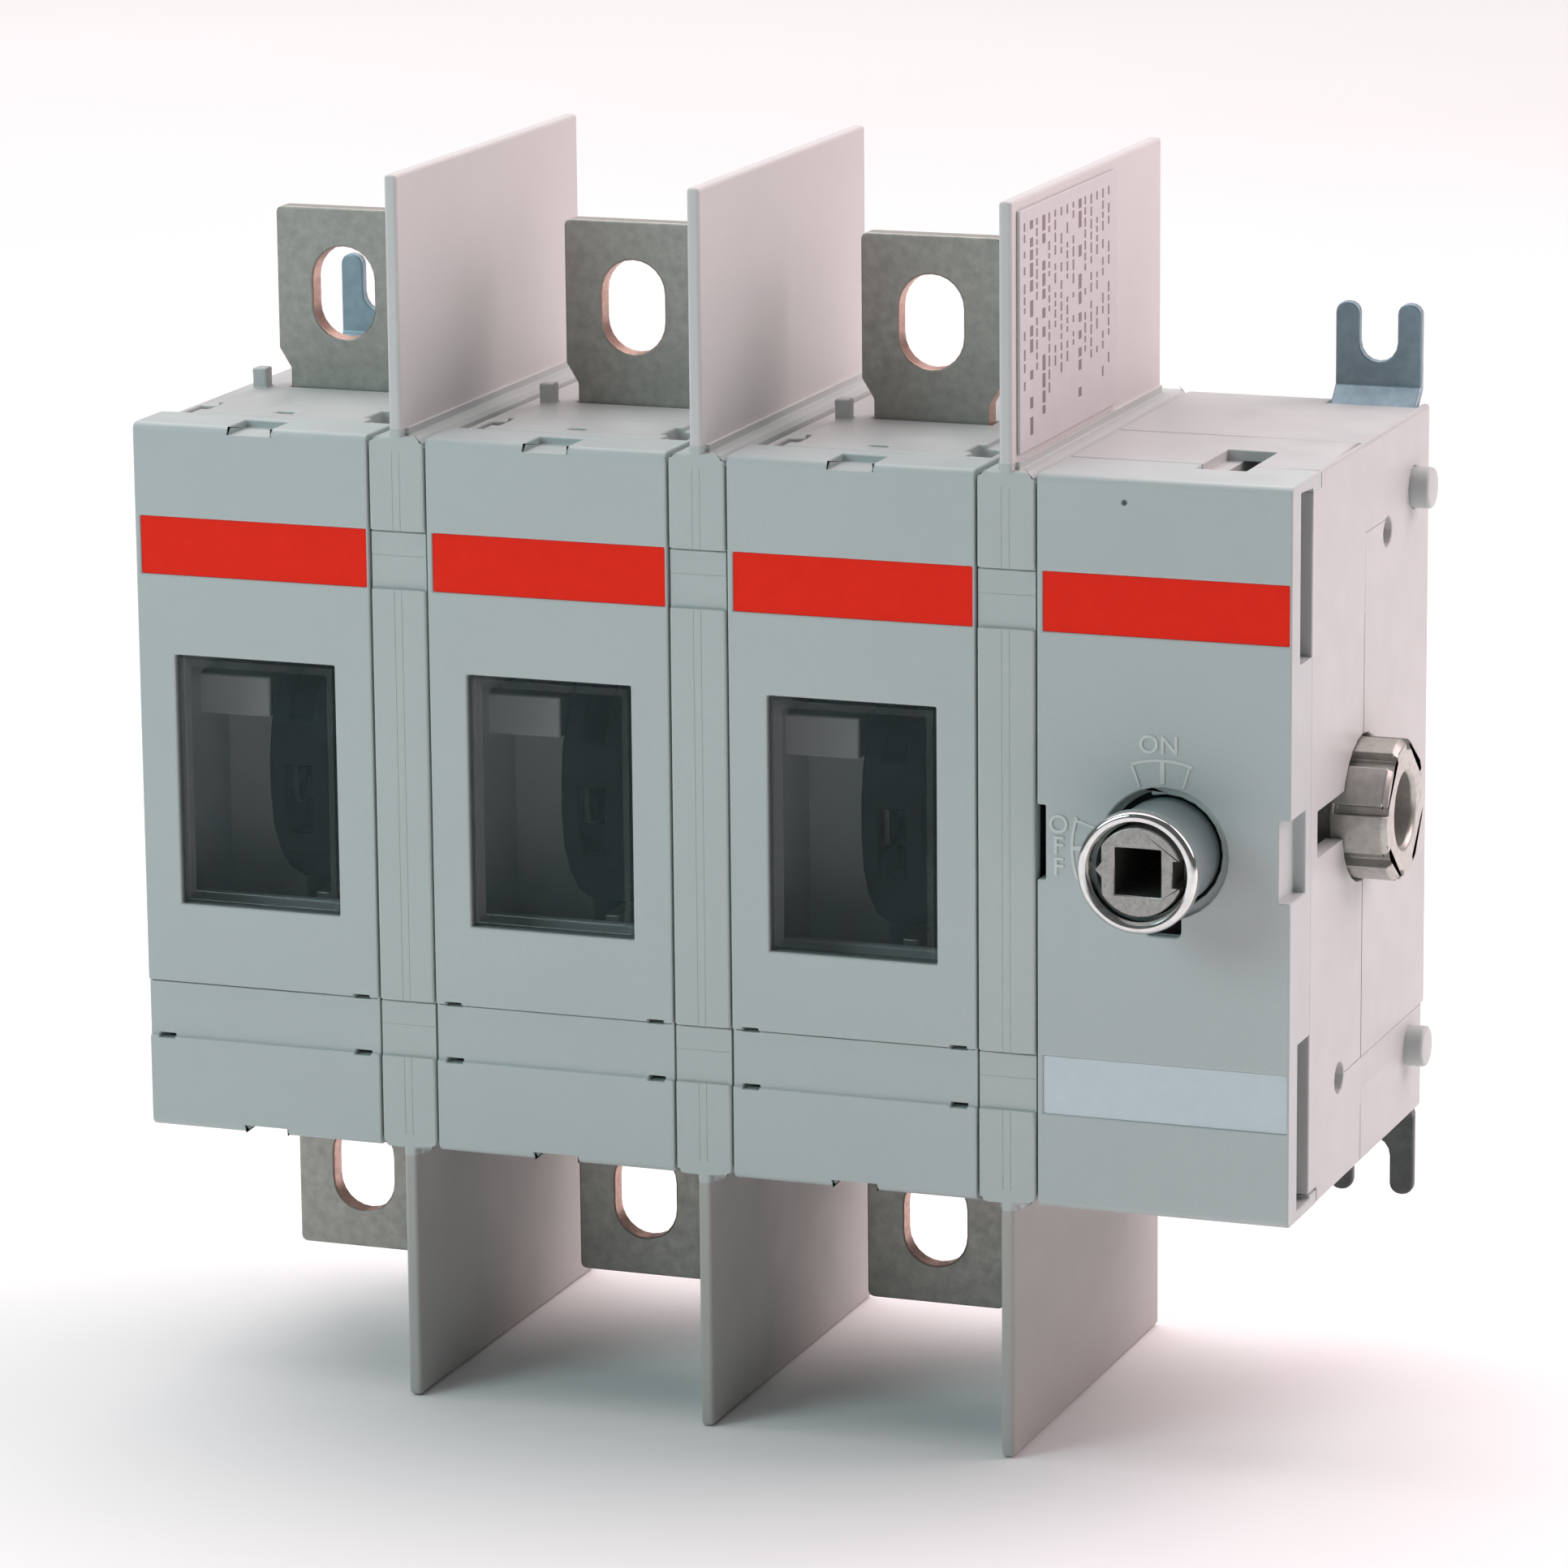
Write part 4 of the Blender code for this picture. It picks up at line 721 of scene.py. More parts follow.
def lens_field(x, z, front):
    """Cutter with sloping sides for the sunk middle of a lens."""
    shape = bmesh.new()
    rows = []
    at_start = (front - 1.0, LENS_RIM_WIDTH - LENS_SLOPE / LENS_FIELD_DEPTH)
    at_floor = (front + LENS_FIELD_DEPTH, LENS_RIM_WIDTH + LENS_SLOPE)
    for level, narrow in (at_start, at_floor):
        row = []
        for a, b in ((x[0] + narrow, z[0] + narrow), (x[1] - narrow, z[0] + narrow),
                     (x[1] - narrow, z[1] - narrow), (x[0] + narrow, z[1] - narrow)):
            row.append(shape.verts.new((a, level, b)))
        shape.faces.new(row)
        rows.append(row)
    for i in range(4):
        j = (i + 1) % 4
        shape.faces.new((rows[0][i], rows[0][j], rows[1][j], rows[1][i]))
    return finished(shape)


def window_lens(node):
    """A lens with a flange behind and a bevelled rim round its sunk middle."""
    x, y, z = limits(node)
    inner_x = (x[0] + LENS_FLANGE + LENS_GAP, x[1] - LENS_FLANGE - LENS_GAP)
    inner_z = (z[0] + LENS_FLANGE + LENS_GAP, z[1] - LENS_FLANGE - LENS_GAP)
    flange = block(x, (y[1] - LENS_FLANGE_THICKNESS, y[1]), z)
    body = rounded_block(inner_x, (y[0], y[1] - GAP), inner_z, LENS_CORNER, 3)
    field = lens_field(inner_x, inner_z, y[0])
    return combined(combined(body, [flange], "UNION"), [field], "DIFFERENCE")


def add_lenses(looks):
    for pole in POLES:
        node = f"pole_{pole}_window"
        both = [looks["lens"], looks["lens_edge"]]
        planes = middle_planes(node, "XZ")
        piece = add_piece(f"pole_{pole}_lens", window_lens(node), both, node, LENS_EDGE, planes=planes)
        for face in piece.data.polygons:
            face.material_index = 0 if abs(face.normal.y) > LENS_FACING else 1


# ---------------------------------------------------------------- labels

FILL_GAP = 0.27
FILM_CORNER = 0.25
FILM_EDGE = 0.03
WHITE_LABEL_WIDER = 0.5

PRINT_HEIGHT = 0.02
PRINT_COLUMNS = 15
LARGE_COLUMNS = (1, 3, 9)
COLUMN_WIDTH = 0.6
LARGE_COLUMN_WIDTH = 1.25
LARGE_BAR = 1.6
PRINT_SIDES = 3.0
PRINT_START = 1.6
PRINT_MARGIN = 1.8
LONGEST_BLANK = 11.0
SHORTEST_COLUMN = 1.6
BAR_LENGTHS = (0.7, 1.5)
BAR_GAPS = (0.4, 0.4, 0.4, 0.4, 1.2, 2.4)
SHEET_DROP = 0.2
SHEET_CORNER = 0.12


def film(node, wider=0.0):
    """A label that fills its recess, with rounded corners. Its right side can be moved outwards."""
    x, y, z = limits(node)
    x = (x[0], x[1] + wider)
    outline = []
    middle_x, middle_z = sum(x) / 2, sum(z) / 2
    half_x = (x[1] - x[0]) / 2 + FILL_GAP - FILM_CORNER
    half_z = (z[1] - z[0]) / 2 + FILL_GAP - FILM_CORNER
    for quarter, (side, rise) in enumerate(((1, 1), (-1, 1), (-1, -1), (1, -1))):
        centre = (middle_x + side * half_x, middle_z + rise * half_z)
        outline += arc(centre, FILM_CORNER, 90 * quarter, 90 * quarter + 90, 6)
    return prism("Y", outline, y[0], y[1] + FILL_GAP)


def add_strips(looks):
    for owner in [f"pole_{pole}" for pole in POLES] + ["mechanism"]:
        node = f"{owner}_marker_strip"
        add_piece(f"{owner}_red_strip", film(node), looks["red"], node, FILM_EDGE)
    white = film("marking_label", WHITE_LABEL_WIDER)
    add_piece("mechanism_white_label", white, looks["white"], "marking_label", FILM_EDGE)


def rating_print(x, y, z):
    """Columns of plain bars in place of a rating label's text, raised by an ink's thickness."""
    chance = random.Random(11)
    ink = []
    thickness = (x[1] - PRINT_HEIGHT, x[1] + PRINT_HEIGHT)
    pitch = (y[1] - y[0] - PRINT_SIDES) / PRINT_COLUMNS
    for column in range(PRINT_COLUMNS):
        near = y[0] + PRINT_START + pitch * column
        large = column in LARGE_COLUMNS
        far = near + (LARGE_COLUMN_WIDTH if large else COLUMN_WIDTH)
        top = z[1] - PRINT_MARGIN
        end = z[0] + (PRINT_MARGIN if large else chance.uniform(PRINT_MARGIN, LONGEST_BLANK))
        while top > end + SHORTEST_COLUMN:
            bottom = top - chance.uniform(*BAR_LENGTHS) * (LARGE_BAR if large else 1.0)
            ink.append(block(thickness, (near, far), (bottom, top)))
            top = bottom - chance.choice(BAR_GAPS)
    return merged(ink)


def add_rating_label(looks):
    node = "rating_label"
    x, y, z = limits(node)
    face = x[1] - SHEET_DROP
    sheet = rounded_block((x[0] - FILL_GAP, face), y, z, SHEET_CORNER, 2)
    add_piece("rating_label_film", sheet, looks["paper"], node, 0)
    bars = rating_print((x[0], face), y, z)
    add_piece("rating_label_bars", bars, looks["ink"], node, 0, stands_for=False)


# ---------------------------------------------------------------- moulded marks on the mechanism cover

MARK_HEIGHT = 0.16
MARK_WIDTH = 0.42
MARK_ARC_RADIUS = 12.7
MARK_ARC = (71.0, 110.0)
TICK_ANGLES = (73.0, 90.5, 110.0)
TICK_START = 9.5
TICK_SHORT = 0.1
TICK_WIDTH = 0.8
MIDDLE_TICK_WIDTH = 1.5
MARK_ROOT = 0.3
MARK_EDGE = 0.05
LETTER_HEIGHT = 2.5
CAPITAL_SHARE = 0.72
LETTER_THICKNESS = 0.2
LETTER_ROUNDING = 0.03
LETTER_SINK = 0.05
ON_LETTERS = (("O", -2.0), ("N", 0.85))
ON_LETTERS_Z = 14.7
OFF_LETTERS_X = -14.6
OFF_LETTERS_TOP = 2.9
OFF_LETTERS_PITCH = 2.9


def raised(outline):
    return prism("Y", outline, FRONT_Y - MARK_HEIGHT, FRONT_Y + MARK_ROOT)


def turned_outline(points, angle):
    """Turns points about the drive's axis, which is where they are measured from."""
    cos, sin = math.cos(math.radians(angle)), math.sin(math.radians(angle))
    return [(MECHANISM_X + a * cos - b * sin, a * sin + b * cos) for a, b in points]


def position_mark(turn):
    """An arc with three ticks that run from it to the drive's hole."""
    half = MARK_WIDTH / 2
    outer = arc((0, 0), MARK_ARC_RADIUS + half, *MARK_ARC, 20)
    inner = arc((0, 0), MARK_ARC_RADIUS - half, *reversed(MARK_ARC), 20)
    meshes = [raised(turned_outline(outer + inner, turn))]
    for angle in TICK_ANGLES:
        out = Vector((math.cos(math.radians(angle)), math.sin(math.radians(angle))))
        width = MIDDLE_TICK_WIDTH if angle == TICK_ANGLES[1] else TICK_WIDTH
        across = Vector((-out.y, out.x)) * half * width
        near, far = out * TICK_START, out * (MARK_ARC_RADIUS - TICK_SHORT)
        corners = [near - across, far - across, far + across, near + across]
        meshes.append(raised(turned_outline([(p.x, p.y) for p in corners], turn)))
    return meshes


def letter(text, x, z):
    """A raised letter whose middle is at x, z on the front face."""
    curve = bpy.data.curves.new("letter", "FONT")
    curve.body = text
    curve.align_x = "CENTER"
    curve.align_y = "CENTER"
    curve.size = LETTER_HEIGHT / CAPITAL_SHARE * MM
    curve.extrude = LETTER_THICKNESS * MM
    curve.bevel_depth = LETTER_ROUNDING * MM
    item = bpy.data.objects.new("letter", curve)
    bpy.context.scene.collection.objects.link(item)
    graph = bpy.context.evaluated_depsgraph_get()
    mesh = bpy.data.meshes.new_from_object(item.evaluated_get(graph))
    bpy.data.objects.remove(item, do_unlink=True)
    turn = Matrix.Rotation(math.radians(90), 4, "X")
    mesh.transform(Matrix.Translation(Vector((x, FRONT_Y + LETTER_SINK, z)) * MM) @ turn)
    return mesh


def add_marks(looks):
    arcs = position_mark(0.0) + position_mark(90.0)
    letters = [letter(text, MECHANISM_X + x, ON_LETTERS_Z) for text, x in ON_LETTERS]
    for i, text in enumerate("OFF"):
        letters.append(letter(text, MECHANISM_X + OFF_LETTERS_X, OFF_LETTERS_TOP - OFF_LETTERS_PITCH * i))
    node = "mechanism_cover"
    add_piece("position_arcs", merged(arcs, weld=True), looks["mark"], node, MARK_EDGE, stands_for=False)
    add_piece("position_letters", merged(letters, weld=True), looks["mark"], node, 0, stands_for=False)


# ---------------------------------------------------------------- bases, barriers and housings

# Planes that part the mouldings' faces, which keeps long thin faces from shading oddly.
# The ones in X are measured from a pole's middle.
BASE_PLANES_X = (-13.8, -12.15, -0.45, 0.0, 13.8)
BASE_PLANES_Y = (-55.4, -53.2, -37.1, SHAFT_Y)
PIN_PLANES_Z = (-40.0, 0.0, 40.0)


def add_bases(looks):
    for pole in POLES:
        node = f"pole_{pole}_base"
        middle = middle_planes(node, "X")[0][1]
        planes = [("X", middle + offset) for offset in BASE_PLANES_X]
        planes += [("Y", level) for level in BASE_PLANES_Y] + [("Z", level) for level in PIN_PLANES_Z]
        add_piece(f"pole_{pole}_body", cad_mesh(node), looks["base"], node, SOFT_EDGE, planes=planes)


PLATE_START_Z = 51.5
PLATE_HALF = 0.93
PLATE_BACK_Y = -3.0
RAIL_HALF = 1.5
RAIL_START = 1.5
RAIL_BACK_Y = -4.0
RAIL_Z = (HALF_HEIGHT - 0.5, HALF_HEIGHT + 1.1)
SPACER_RIB_WIDTH = 1.1
SPACER_LINE_DEPTH = 0.06
SPACER_LINE_HALF = 0.07
SPACER_LINE_END_Z = HALF_HEIGHT - 2.0
BAND_LINE_DROP = 3.5
BAND_LINE_HALF = 0.08


def spacer_envelope(x, y, z):
    """The outside of a spacer and its plate, both with rounded edges."""
    middle = sum(x) / 2
    spacer = rounded_block(x, y, (-HALF_HEIGHT, HALF_HEIGHT), SPACER_CORNER)
    across = (middle - PLATE_HALF, middle + PLATE_HALF)
    plate = rounded_block(across, (y[0], PLATE_BACK_Y), z, PLATE_EDGE, 4)
    return combined(spacer, [plate], "UNION")


def upright_lines(middle, front):
    """Cutters for the two hair-thin lines that run up a spacer's front."""
    cutters = []
    for side in (-1, 1):
        line_x = middle + side * SPACER_RIB_WIDTH / 2
        deep = (front - BEYOND, front + SPACER_LINE_DEPTH)
        width = (line_x - SPACER_LINE_HALF, line_x + SPACER_LINE_HALF)
        cutters.append(block(width, deep, (-SPACER_LINE_END_Z, SPACER_LINE_END_Z)))
    return cutters


def band_lines(x, front):
    """Cutters for the thin line across each of a spacer's sunk bands."""
    cutters = []
    for band in (UPPER_BAND, LOWER_BAND):
        level = band[1] - BAND_LINE_DROP
        deep = (front - BEYOND, front + BAND_DEPTH + SPACER_LINE_DEPTH)
        across = (x[0] - BEYOND, x[1] + BEYOND)
        cutters.append(block(across, deep, (level - BAND_LINE_HALF, level + BAND_LINE_HALF)))
    return cutters


def spacer_barrier(node):
    """The spacer and its plate, with rounded front edges and a small rail at the plate's root."""
    x, y, z = limits(node)
    front = y[0]
    middle = sum(x) / 2
    shape = combined(cad_mesh(node), [spacer_envelope(x, y, z)], "INTERSECT")
    rails = both_ways((middle - RAIL_HALF, middle + RAIL_HALF), (front + RAIL_START, RAIL_BACK_Y), RAIL_Z)
    shape = combined(shape, rails, "UNION")
    shape = combined(shape, upright_lines(middle, front), "DIFFERENCE")
    lines = band_lines(x, front) + ledge_lines(x, front, (UPPER_BAND, LOWER_BAND), -BEYOND)
    return combined(shape, lines, "DIFFERENCE")


def add_barriers(looks):
    for number in (1, 2, 3):
        node = f"phase_barrier_{number}"
        levels = PIN_PLANES_Z + (-PLATE_START_Z, PLATE_START_Z)
        planes = middle_planes(node, "X") + [("Y", SHAFT_Y)] + [("Z", level) for level in levels]
        parts = [looks["barrier"], looks["plate"], looks["low_plate"]]
        name = f"phase_barrier_{number}_shell"
        piece = add_piece(name, spacer_barrier(node), parts, node, SLIM_EDGE, planes=planes)
        # Faces on the plates above the body take the lighter copy of the plastic (painted light), and those
        # below take the darker copy (painted shade).
        for face in piece.data.polygons:
            if abs(face.center.z) > PLATE_START_Z * MM:
                face.material_index = 1 if face.center.z > 0 else 2


RIGHT_SIDE_X = MECHANISM_X + HALF_WIDTH
SEAM_Y = SHAFT_Y
HALF_SEAM = GAP / 2
FAINT_SEAM_Z = 27.0
SEAM_BREAK_Z = -42.0
JOINT_MARGIN = 0.6
JOINT_SLACK = 0.2
JOINT_X = (MECHANISM_X + 17.0, MECHANISM_X + 18.5)
JOINT_TOP_Z = 51.0
SKIRT_JOINT_END_Y = COVER_JOINT_Y + 0.4
LIP_JOINT_END_Y = COVER_JOINT_Y + 4.5
LIP_JOINT_START_Z = 47.5
REAR_FILL_DEPTH = 0.6
REAR_FILL_END_Y = -2.7
LOWER_LINE_Z = -35.5
LOWER_LINE_START_Y = -44.4
UPPER_LINE_Z = 38.0
UPPER_LINE_END_Y = -23.0
LINE_WIDTH = 0.14
LINE_DEPTH = 0.12
POCKET_HOLE_X = (MECHANISM_X + 3.4, MECHANISM_X + 7.7)
POCKET_HOLE_Y = (-57.0, -38.0)
POCKET_HOLE_Z = (40.0, 48.85)


def flush_joints():
    """Boxes round the joints on the mechanism's right side that hardly show."""
    front = COVER_JOINT_Y - JOINT_MARGIN
    seam = (SEAM_Y - JOINT_MARGIN, SEAM_Y + JOINT_MARGIN)
    skirt_z = (SLOT_END_Z[0] - JOINT_SLACK, SLOT_END_Z[1] + JOINT_SLACK)
    return [
        (JOINT_X, (front, SKIRT_JOINT_END_Y), skirt_z),
        (JOINT_X, (front, LIP_JOINT_END_Y), (LIP_JOINT_START_Z, JOINT_TOP_Z)),
        (JOINT_X, seam, (FAINT_SEAM_Z - JOINT_SLACK, JOINT_TOP_Z)),
        (JOINT_X, seam, (SEAM_BREAK_Z - JOINT_SLACK, LOWER_LINE_Z + JOINT_SLACK)),
    ]


def side_fills(half):
    """Blocks that fill a housing's right side where its joints and steps don't show."""
    if half == "rear":
        wall = (RIGHT_SIDE_X - REAR_FILL_DEPTH, RIGHT_SIDE_X)
        return [block(wall, (SEAM_Y + HALF_SEAM, REAR_FILL_END_Y), (-HALF_HEIGHT, LOWER_LINE_Z + OVERLAP))]
    wall = (RIGHT_SIDE_X - SIDE_WALL, RIGHT_SIDE_X)
    across = (SEAM_Y - HALF_SEAM - OVERLAP, SEAM_Y + HALF_SEAM - HAIRLINE)
    upper = block(wall, across, (FAINT_SEAM_Z, HALF_HEIGHT))
    return [upper, block(wall, across, (SEAM_BREAK_Z, LOWER_LINE_Z))]


def housing_cuts(half):
    """Cutters for the hair-thin lines on the right side, and the deep hole in the front half's pocket."""
    wall = (RIGHT_SIDE_X - LINE_DEPTH, RIGHT_SIDE_X + BEYOND)
    lower_z = (LOWER_LINE_Z, LOWER_LINE_Z + LINE_WIDTH)
    if half == "front":
        line = block(wall, (LOWER_LINE_START_Y, SEAM_Y - GAP), lower_z)
        return [line, block(POCKET_HOLE_X, POCKET_HOLE_Y, POCKET_HOLE_Z)]
    lower = block(wall, (SEAM_Y + GAP, 0.0), lower_z)
    upper = block(wall, (SEAM_Y + GAP, UPPER_LINE_END_Y), (UPPER_LINE_Z, UPPER_LINE_Z + LINE_WIDTH))
    return [lower, upper]


def mechanism_housing(half):
    node = f"mechanism_{half}_housing"
    x, y, z = limits(node)
    outer = rounded_block(x, (y[0] - BEYOND, y[1] + BEYOND), z, HOUSING_CORNER)
    shape = combined(cad_mesh(node), side_fills(half), "UNION")
    shape = combined(shape, [outer], "INTERSECT")
    return combined(shape, housing_cuts(half), "DIFFERENCE")


HOUSING_PLANES_X = (MECHANISM_X, MECHANISM_X + 4.7)
HOUSING_PLANES_Z = (-35.6, 36.2)


def add_housings(looks):
    planes = [("X", level) for level in HOUSING_PLANES_X]
    planes += [("Z", level) for level in HOUSING_PLANES_Z + PIN_PLANES_Z]
    joints = flush_joints()
    for half in ("front", "rear"):
        node = f"mechanism_{half}_housing"
        shape = mechanism_housing(half)
        name = f"mechanism_{half}_shell"
        add_piece(name, shape, looks["base"], node, SLIM_EDGE, flush=joints, planes=planes)
    node = "mechanism_cover"
    planes = middle_planes(node, "X") + [("Z", 0.0), ("Z", PIT_Z)]
    add_piece("mechanism_cover_shell", mechanism_cover(), looks["cover"], node, flush=joints, planes=planes)


# ---------------------------------------------------------------- metalwork and pins

SLOT_Z = 64.25
TIP_Z = 75.0


def add_terminals(looks):
    for pole in POLES:
        for side in ("line", "load"):
            node = f"pole_{pole}_{side}_terminal"
            mesh = cad_mesh(node)
            planes = middle_planes(node, "X") + [("Z", SLOT_Z if side == "line" else -SLOT_Z)]
            both = [looks["copper"], looks["bare_copper"]]
            piece = add_piece(f"pole_{pole}_{side}_bar", mesh, both, node, SHEET_EDGE, planes=planes)
            for face in piece.data.polygons:
                tip = abs(face.center.z) > TIP_Z * MM and abs(face.normal.z) > 0.5
                face.material_index = 0 if abs(face.normal.y) > 0.5 or tip else 1


def add_feet(looks):
    for side in ("left", "right"):
        for end in ("upper", "lower"):
            node = f"{side}_{end}_foot"
            # The lower feet take the darker copy of the zinc as painted shade.
            look = looks["zinc" if end == "upper" else "dull_zinc"]
            add_piece(f"{side}_{end}_bracket", cad_mesh(node), look, node, SOFT_EDGE, 3)


PIN_EXTRA = 0.2
PIN_ROUND = 0.5
PIN_CORE = 0.02


def quarter_turn(steps):
    return [math.pi / 2 * i / steps for i in range(steps + 1)]


def add_pins(looks):
    for end in ("upper", "lower"):
        node = f"{end}_tie_pin"
        x, y, z = limits(node)
        flat = (y[1] - y[0]) / 2 + PIN_EXTRA - PIN_ROUND
        start, stop = x[0] + PIN_ROUND, x[1] - PIN_ROUND
        turn = quarter_turn(6)
        profile = [(PIN_CORE, x[0])]
        profile += [(flat + PIN_ROUND * math.sin(a), start - PIN_ROUND * math.cos(a)) for a in turn]
        profile += [(flat + PIN_ROUND * math.cos(a), stop + PIN_ROUND * math.sin(a)) for a in turn]
        profile += [(PIN_CORE, x[1])]
        mesh = turned("X", (sum(y) / 2, sum(z) / 2), profile, 48)
        add_piece(f"{end}_pin", mesh, looks["barrier"], node, 0)


# ---------------------------------------------------------------- front drive

DRIVE_AXIS = (MECHANISM_X, 0.0)
RING_BORE = 6.7
RING_ROUND = 0.75
RING_LIP = 0.7
RING_LIP_STEP = (0.35, 0.12)
RING_BACK_CHAMFER = 0.25
SLEEVE_BORE = 6.4
SLEEVE_RADIUS = 7.3
SLEEVE_CHAMFER = 0.2
FLANGE_RADIUS = 9.5
FLANGE_Y = (-66.5, -63.5)
# A near-black ring round the sleeve, in front of its flange, is painted shadow for the dark gap between the
# sleeve and the cover's collar.
SHADOW_RING_RADII = (7.28, 8.1)
SHADOW_RING_Y = (-67.1, -66.4)
SOCKET_EDGE = 0.18


def ring_profile():
    """The chromed ring: a rounded front edge outside, an eased lip at the bore."""
    x, y, z = limits("drive_ring")
    outer = (x[1] - x[0]) / 2
    face, back = y
    profile = [(RING_BORE, back), (RING_BORE, face + RING_LIP)]
    profile += [(RING_BORE + RING_LIP_STEP[0], face + RING_LIP_STEP[1]), (RING_BORE + RING_LIP, face)]
    flat, start = outer - RING_ROUND, face + RING_ROUND
    turn = quarter_turn(8)
    profile += [(flat + RING_ROUND * math.sin(a), start - RING_ROUND * math.cos(a)) for a in turn]
    return profile + [(outer, back - RING_BACK_CHAMFER), (outer - RING_BACK_CHAMFER, back)]


def sleeve_profile():
    """The plastic sleeve, with a flange behind the cover's front wall."""
    face, back = limits("drive_sleeve")[1]
    profile = [(SLEEVE_BORE, face), (SLEEVE_RADIUS - SLEEVE_CHAMFER, face)]
    profile += [(SLEEVE_RADIUS, face + SLEEVE_CHAMFER), (SLEEVE_RADIUS, FLANGE_Y[0])]
    profile += [(FLANGE_RADIUS, FLANGE_Y[0]), (FLANGE_RADIUS, FLANGE_Y[1])]
    return profile + [(SLEEVE_RADIUS, FLANGE_Y[1]), (SLEEVE_RADIUS, back), (SLEEVE_BORE, back)]


# Outline of the near-black ring that paints the shadow in the gap round the sleeve.
def shadow_ring_profile():
    inner, outer = SHADOW_RING_RADII
    return [(inner, SHADOW_RING_Y[0]), (outer, SHADOW_RING_Y[0]), (outer, SHADOW_RING_Y[1]), (inner, SHADOW_RING_Y[1])]


def add_drive(looks):
    ring = turned("Y", DRIVE_AXIS, ring_profile())
    add_piece("drive_ring_turned", ring, looks["chrome"], "drive_ring", 0)
    sleeve = turned("Y", DRIVE_AXIS, sleeve_profile())
    add_piece("drive_sleeve_turned", sleeve, looks["sleeve"], "drive_sleeve", 0)
    # A near-black ring as painted shadow in the gap between the sleeve and the cover's collar. It is not a
    # part of the switch.
    shadow_ring = turned("Y", DRIVE_AXIS, shadow_ring_profile())
    add_piece("drive_painted_shadow_ring", shadow_ring, looks["rotor"], "drive_sleeve", 0, stands_for=False)
    node = "drive_socket"
    planes = [("X", MECHANISM_X), ("Z", 0.0)]
    add_piece("drive_socket_body", cad_mesh(node), looks["socket"], node, SOCKET_EDGE, planes=planes)


# ---------------------------------------------------------------- side coupling

COUPLING_OUTER = 9.8
COUPLING_ROOT = 8.3
COUPLING_BORE = 5.1
COUPLING_NECK = 9.0
COUPLING_HEAD_X = MECHANISM_X + 15.65
COUPLING_CHAMFER = 0.7
BORE_CHAMFER = 0.5
COUPLING_EDGE = 0.16
GROOVES = 8
NARROW_GROOVE = 2
FIRST_GROOVE_DEGREES = 80
GROOVE_HALF = 1.35
NARROW_HALF = 0.7
GROOVE_FLOOR = 0.8
GROOVE_MOUTH = 1.3
GROOVE_START_X = COUPLING_HEAD_X + 0.6


def coupling_profile(x):
    start, end = x
    profile = [(COUPLING_BORE, start), (COUPLING_NECK, start), (COUPLING_NECK, COUPLING_HEAD_X)]
    profile += [(COUPLING_OUTER, COUPLING_HEAD_X), (COUPLING_OUTER, end - COUPLING_CHAMFER)]
    profile += [(COUPLING_OUTER - COUPLING_CHAMFER, end)]
    return profile + [(COUPLING_BORE + BORE_CHAMFER, end), (COUPLING_BORE, end - BORE_CHAMFER)]


def coupling_groove(index, end):
    """A cutter for one groove round the coupling's head, wider at its mouth."""
    angle = math.radians(FIRST_GROOVE_DEGREES + 360 / GROOVES * index)
    half = NARROW_HALF if index == NARROW_GROOVE else GROOVE_HALF
    out = Vector((math.cos(angle), math.sin(angle)))
    across = Vector((-out.y, out.x))
    centre = Vector((SHAFT_Y, 0.0))
    root = centre + out * COUPLING_ROOT
    mouth = centre + out * (COUPLING_OUTER + BEYOND)
    corners = [
        root - across * half * GROOVE_FLOOR,
        mouth - across * half * GROOVE_MOUTH,
        mouth + across * half * GROOVE_MOUTH,
        root + across * half * GROOVE_FLOOR,
    ]
    return prism("X", [(p.x, p.y) for p in corners], GROOVE_START_X, end + BEYOND)


def add_coupling(looks):
    node = "side_coupling"
    x = limits(node)[0]
    body = turned("X", (SHAFT_Y, 0.0), coupling_profile(x))
    grooves = [coupling_groove(i, x[1]) for i in range(GROOVES)]
    shape = combined(body, grooves, "DIFFERENCE")
    planes = [("Y", SHAFT_Y), ("Z", 0.0)]
    add_piece("side_coupling_cast", shape, looks["coupling"], node, COUPLING_EDGE, planes=planes)


# ---------------------------------------------------------------- inside the poles


def dress_cad_nodes(looks):
    """Gives every CAD node its procedural material. Those that no piece stands for stay in view."""
    for name, item in frame["nodes"].items():
        look = looks[NODE_LOOKS[SLOT_OF[name]]]
        for slot in item.material_slots:
            slot.material = look


ROTOR_SHIFT_X = 3.4
ROTOR_EDGE = 0.4


def add_rotors(looks):
    for pole in POLES:
        node = f"pole_{pole}_rotor"
        middle = middle_planes(f"pole_{pole}_base", "X")[0][1]
        planes = [("X", middle + ROTOR_SHIFT_X), ("Y", SHAFT_Y), ("Z", 0.0)]
        add_piece(f"pole_{pole}_carrier", cad_mesh(node), looks["rotor"], node, ROTOR_EDGE, planes=planes)


# ---------------------------------------------------------------- floor, lights and camera

FLOOR_SIZE = 12.0
FLOOR_GAP = 0.0002
WORLD_COLOUR = (0.97, 0.98, 1.0, 1.0)
WORLD_STRENGTH = 0.12


def pale_floor():
    look = Look("pale_floor")
    tint = look.blend(look.ramp(look.noise(400.0, 2.0), 0.0, 1.0), (0.87, 0.87, 0.87), (0.90, 0.90, 0.90))
    return look.finish(tint, look.ramp(look.noise(60.0, 2.0), 0.85, 0.95))


def add_floor():
    half = FLOOR_SIZE / 2
    level = cad_low.z - FLOOR_GAP
    mesh = bpy.data.meshes.new("floor")
    corners = [(-half, -half, level), (half, -half, level), (half, half, level), (-half, half, level)]
    mesh.from_pydata(corners, [], [(0, 1, 2, 3)])
    mesh.materials.append(pale_floor())
    floor = bpy.data.objects.new("floor", mesh)
    bpy.context.scene.collection.objects.link(floor)


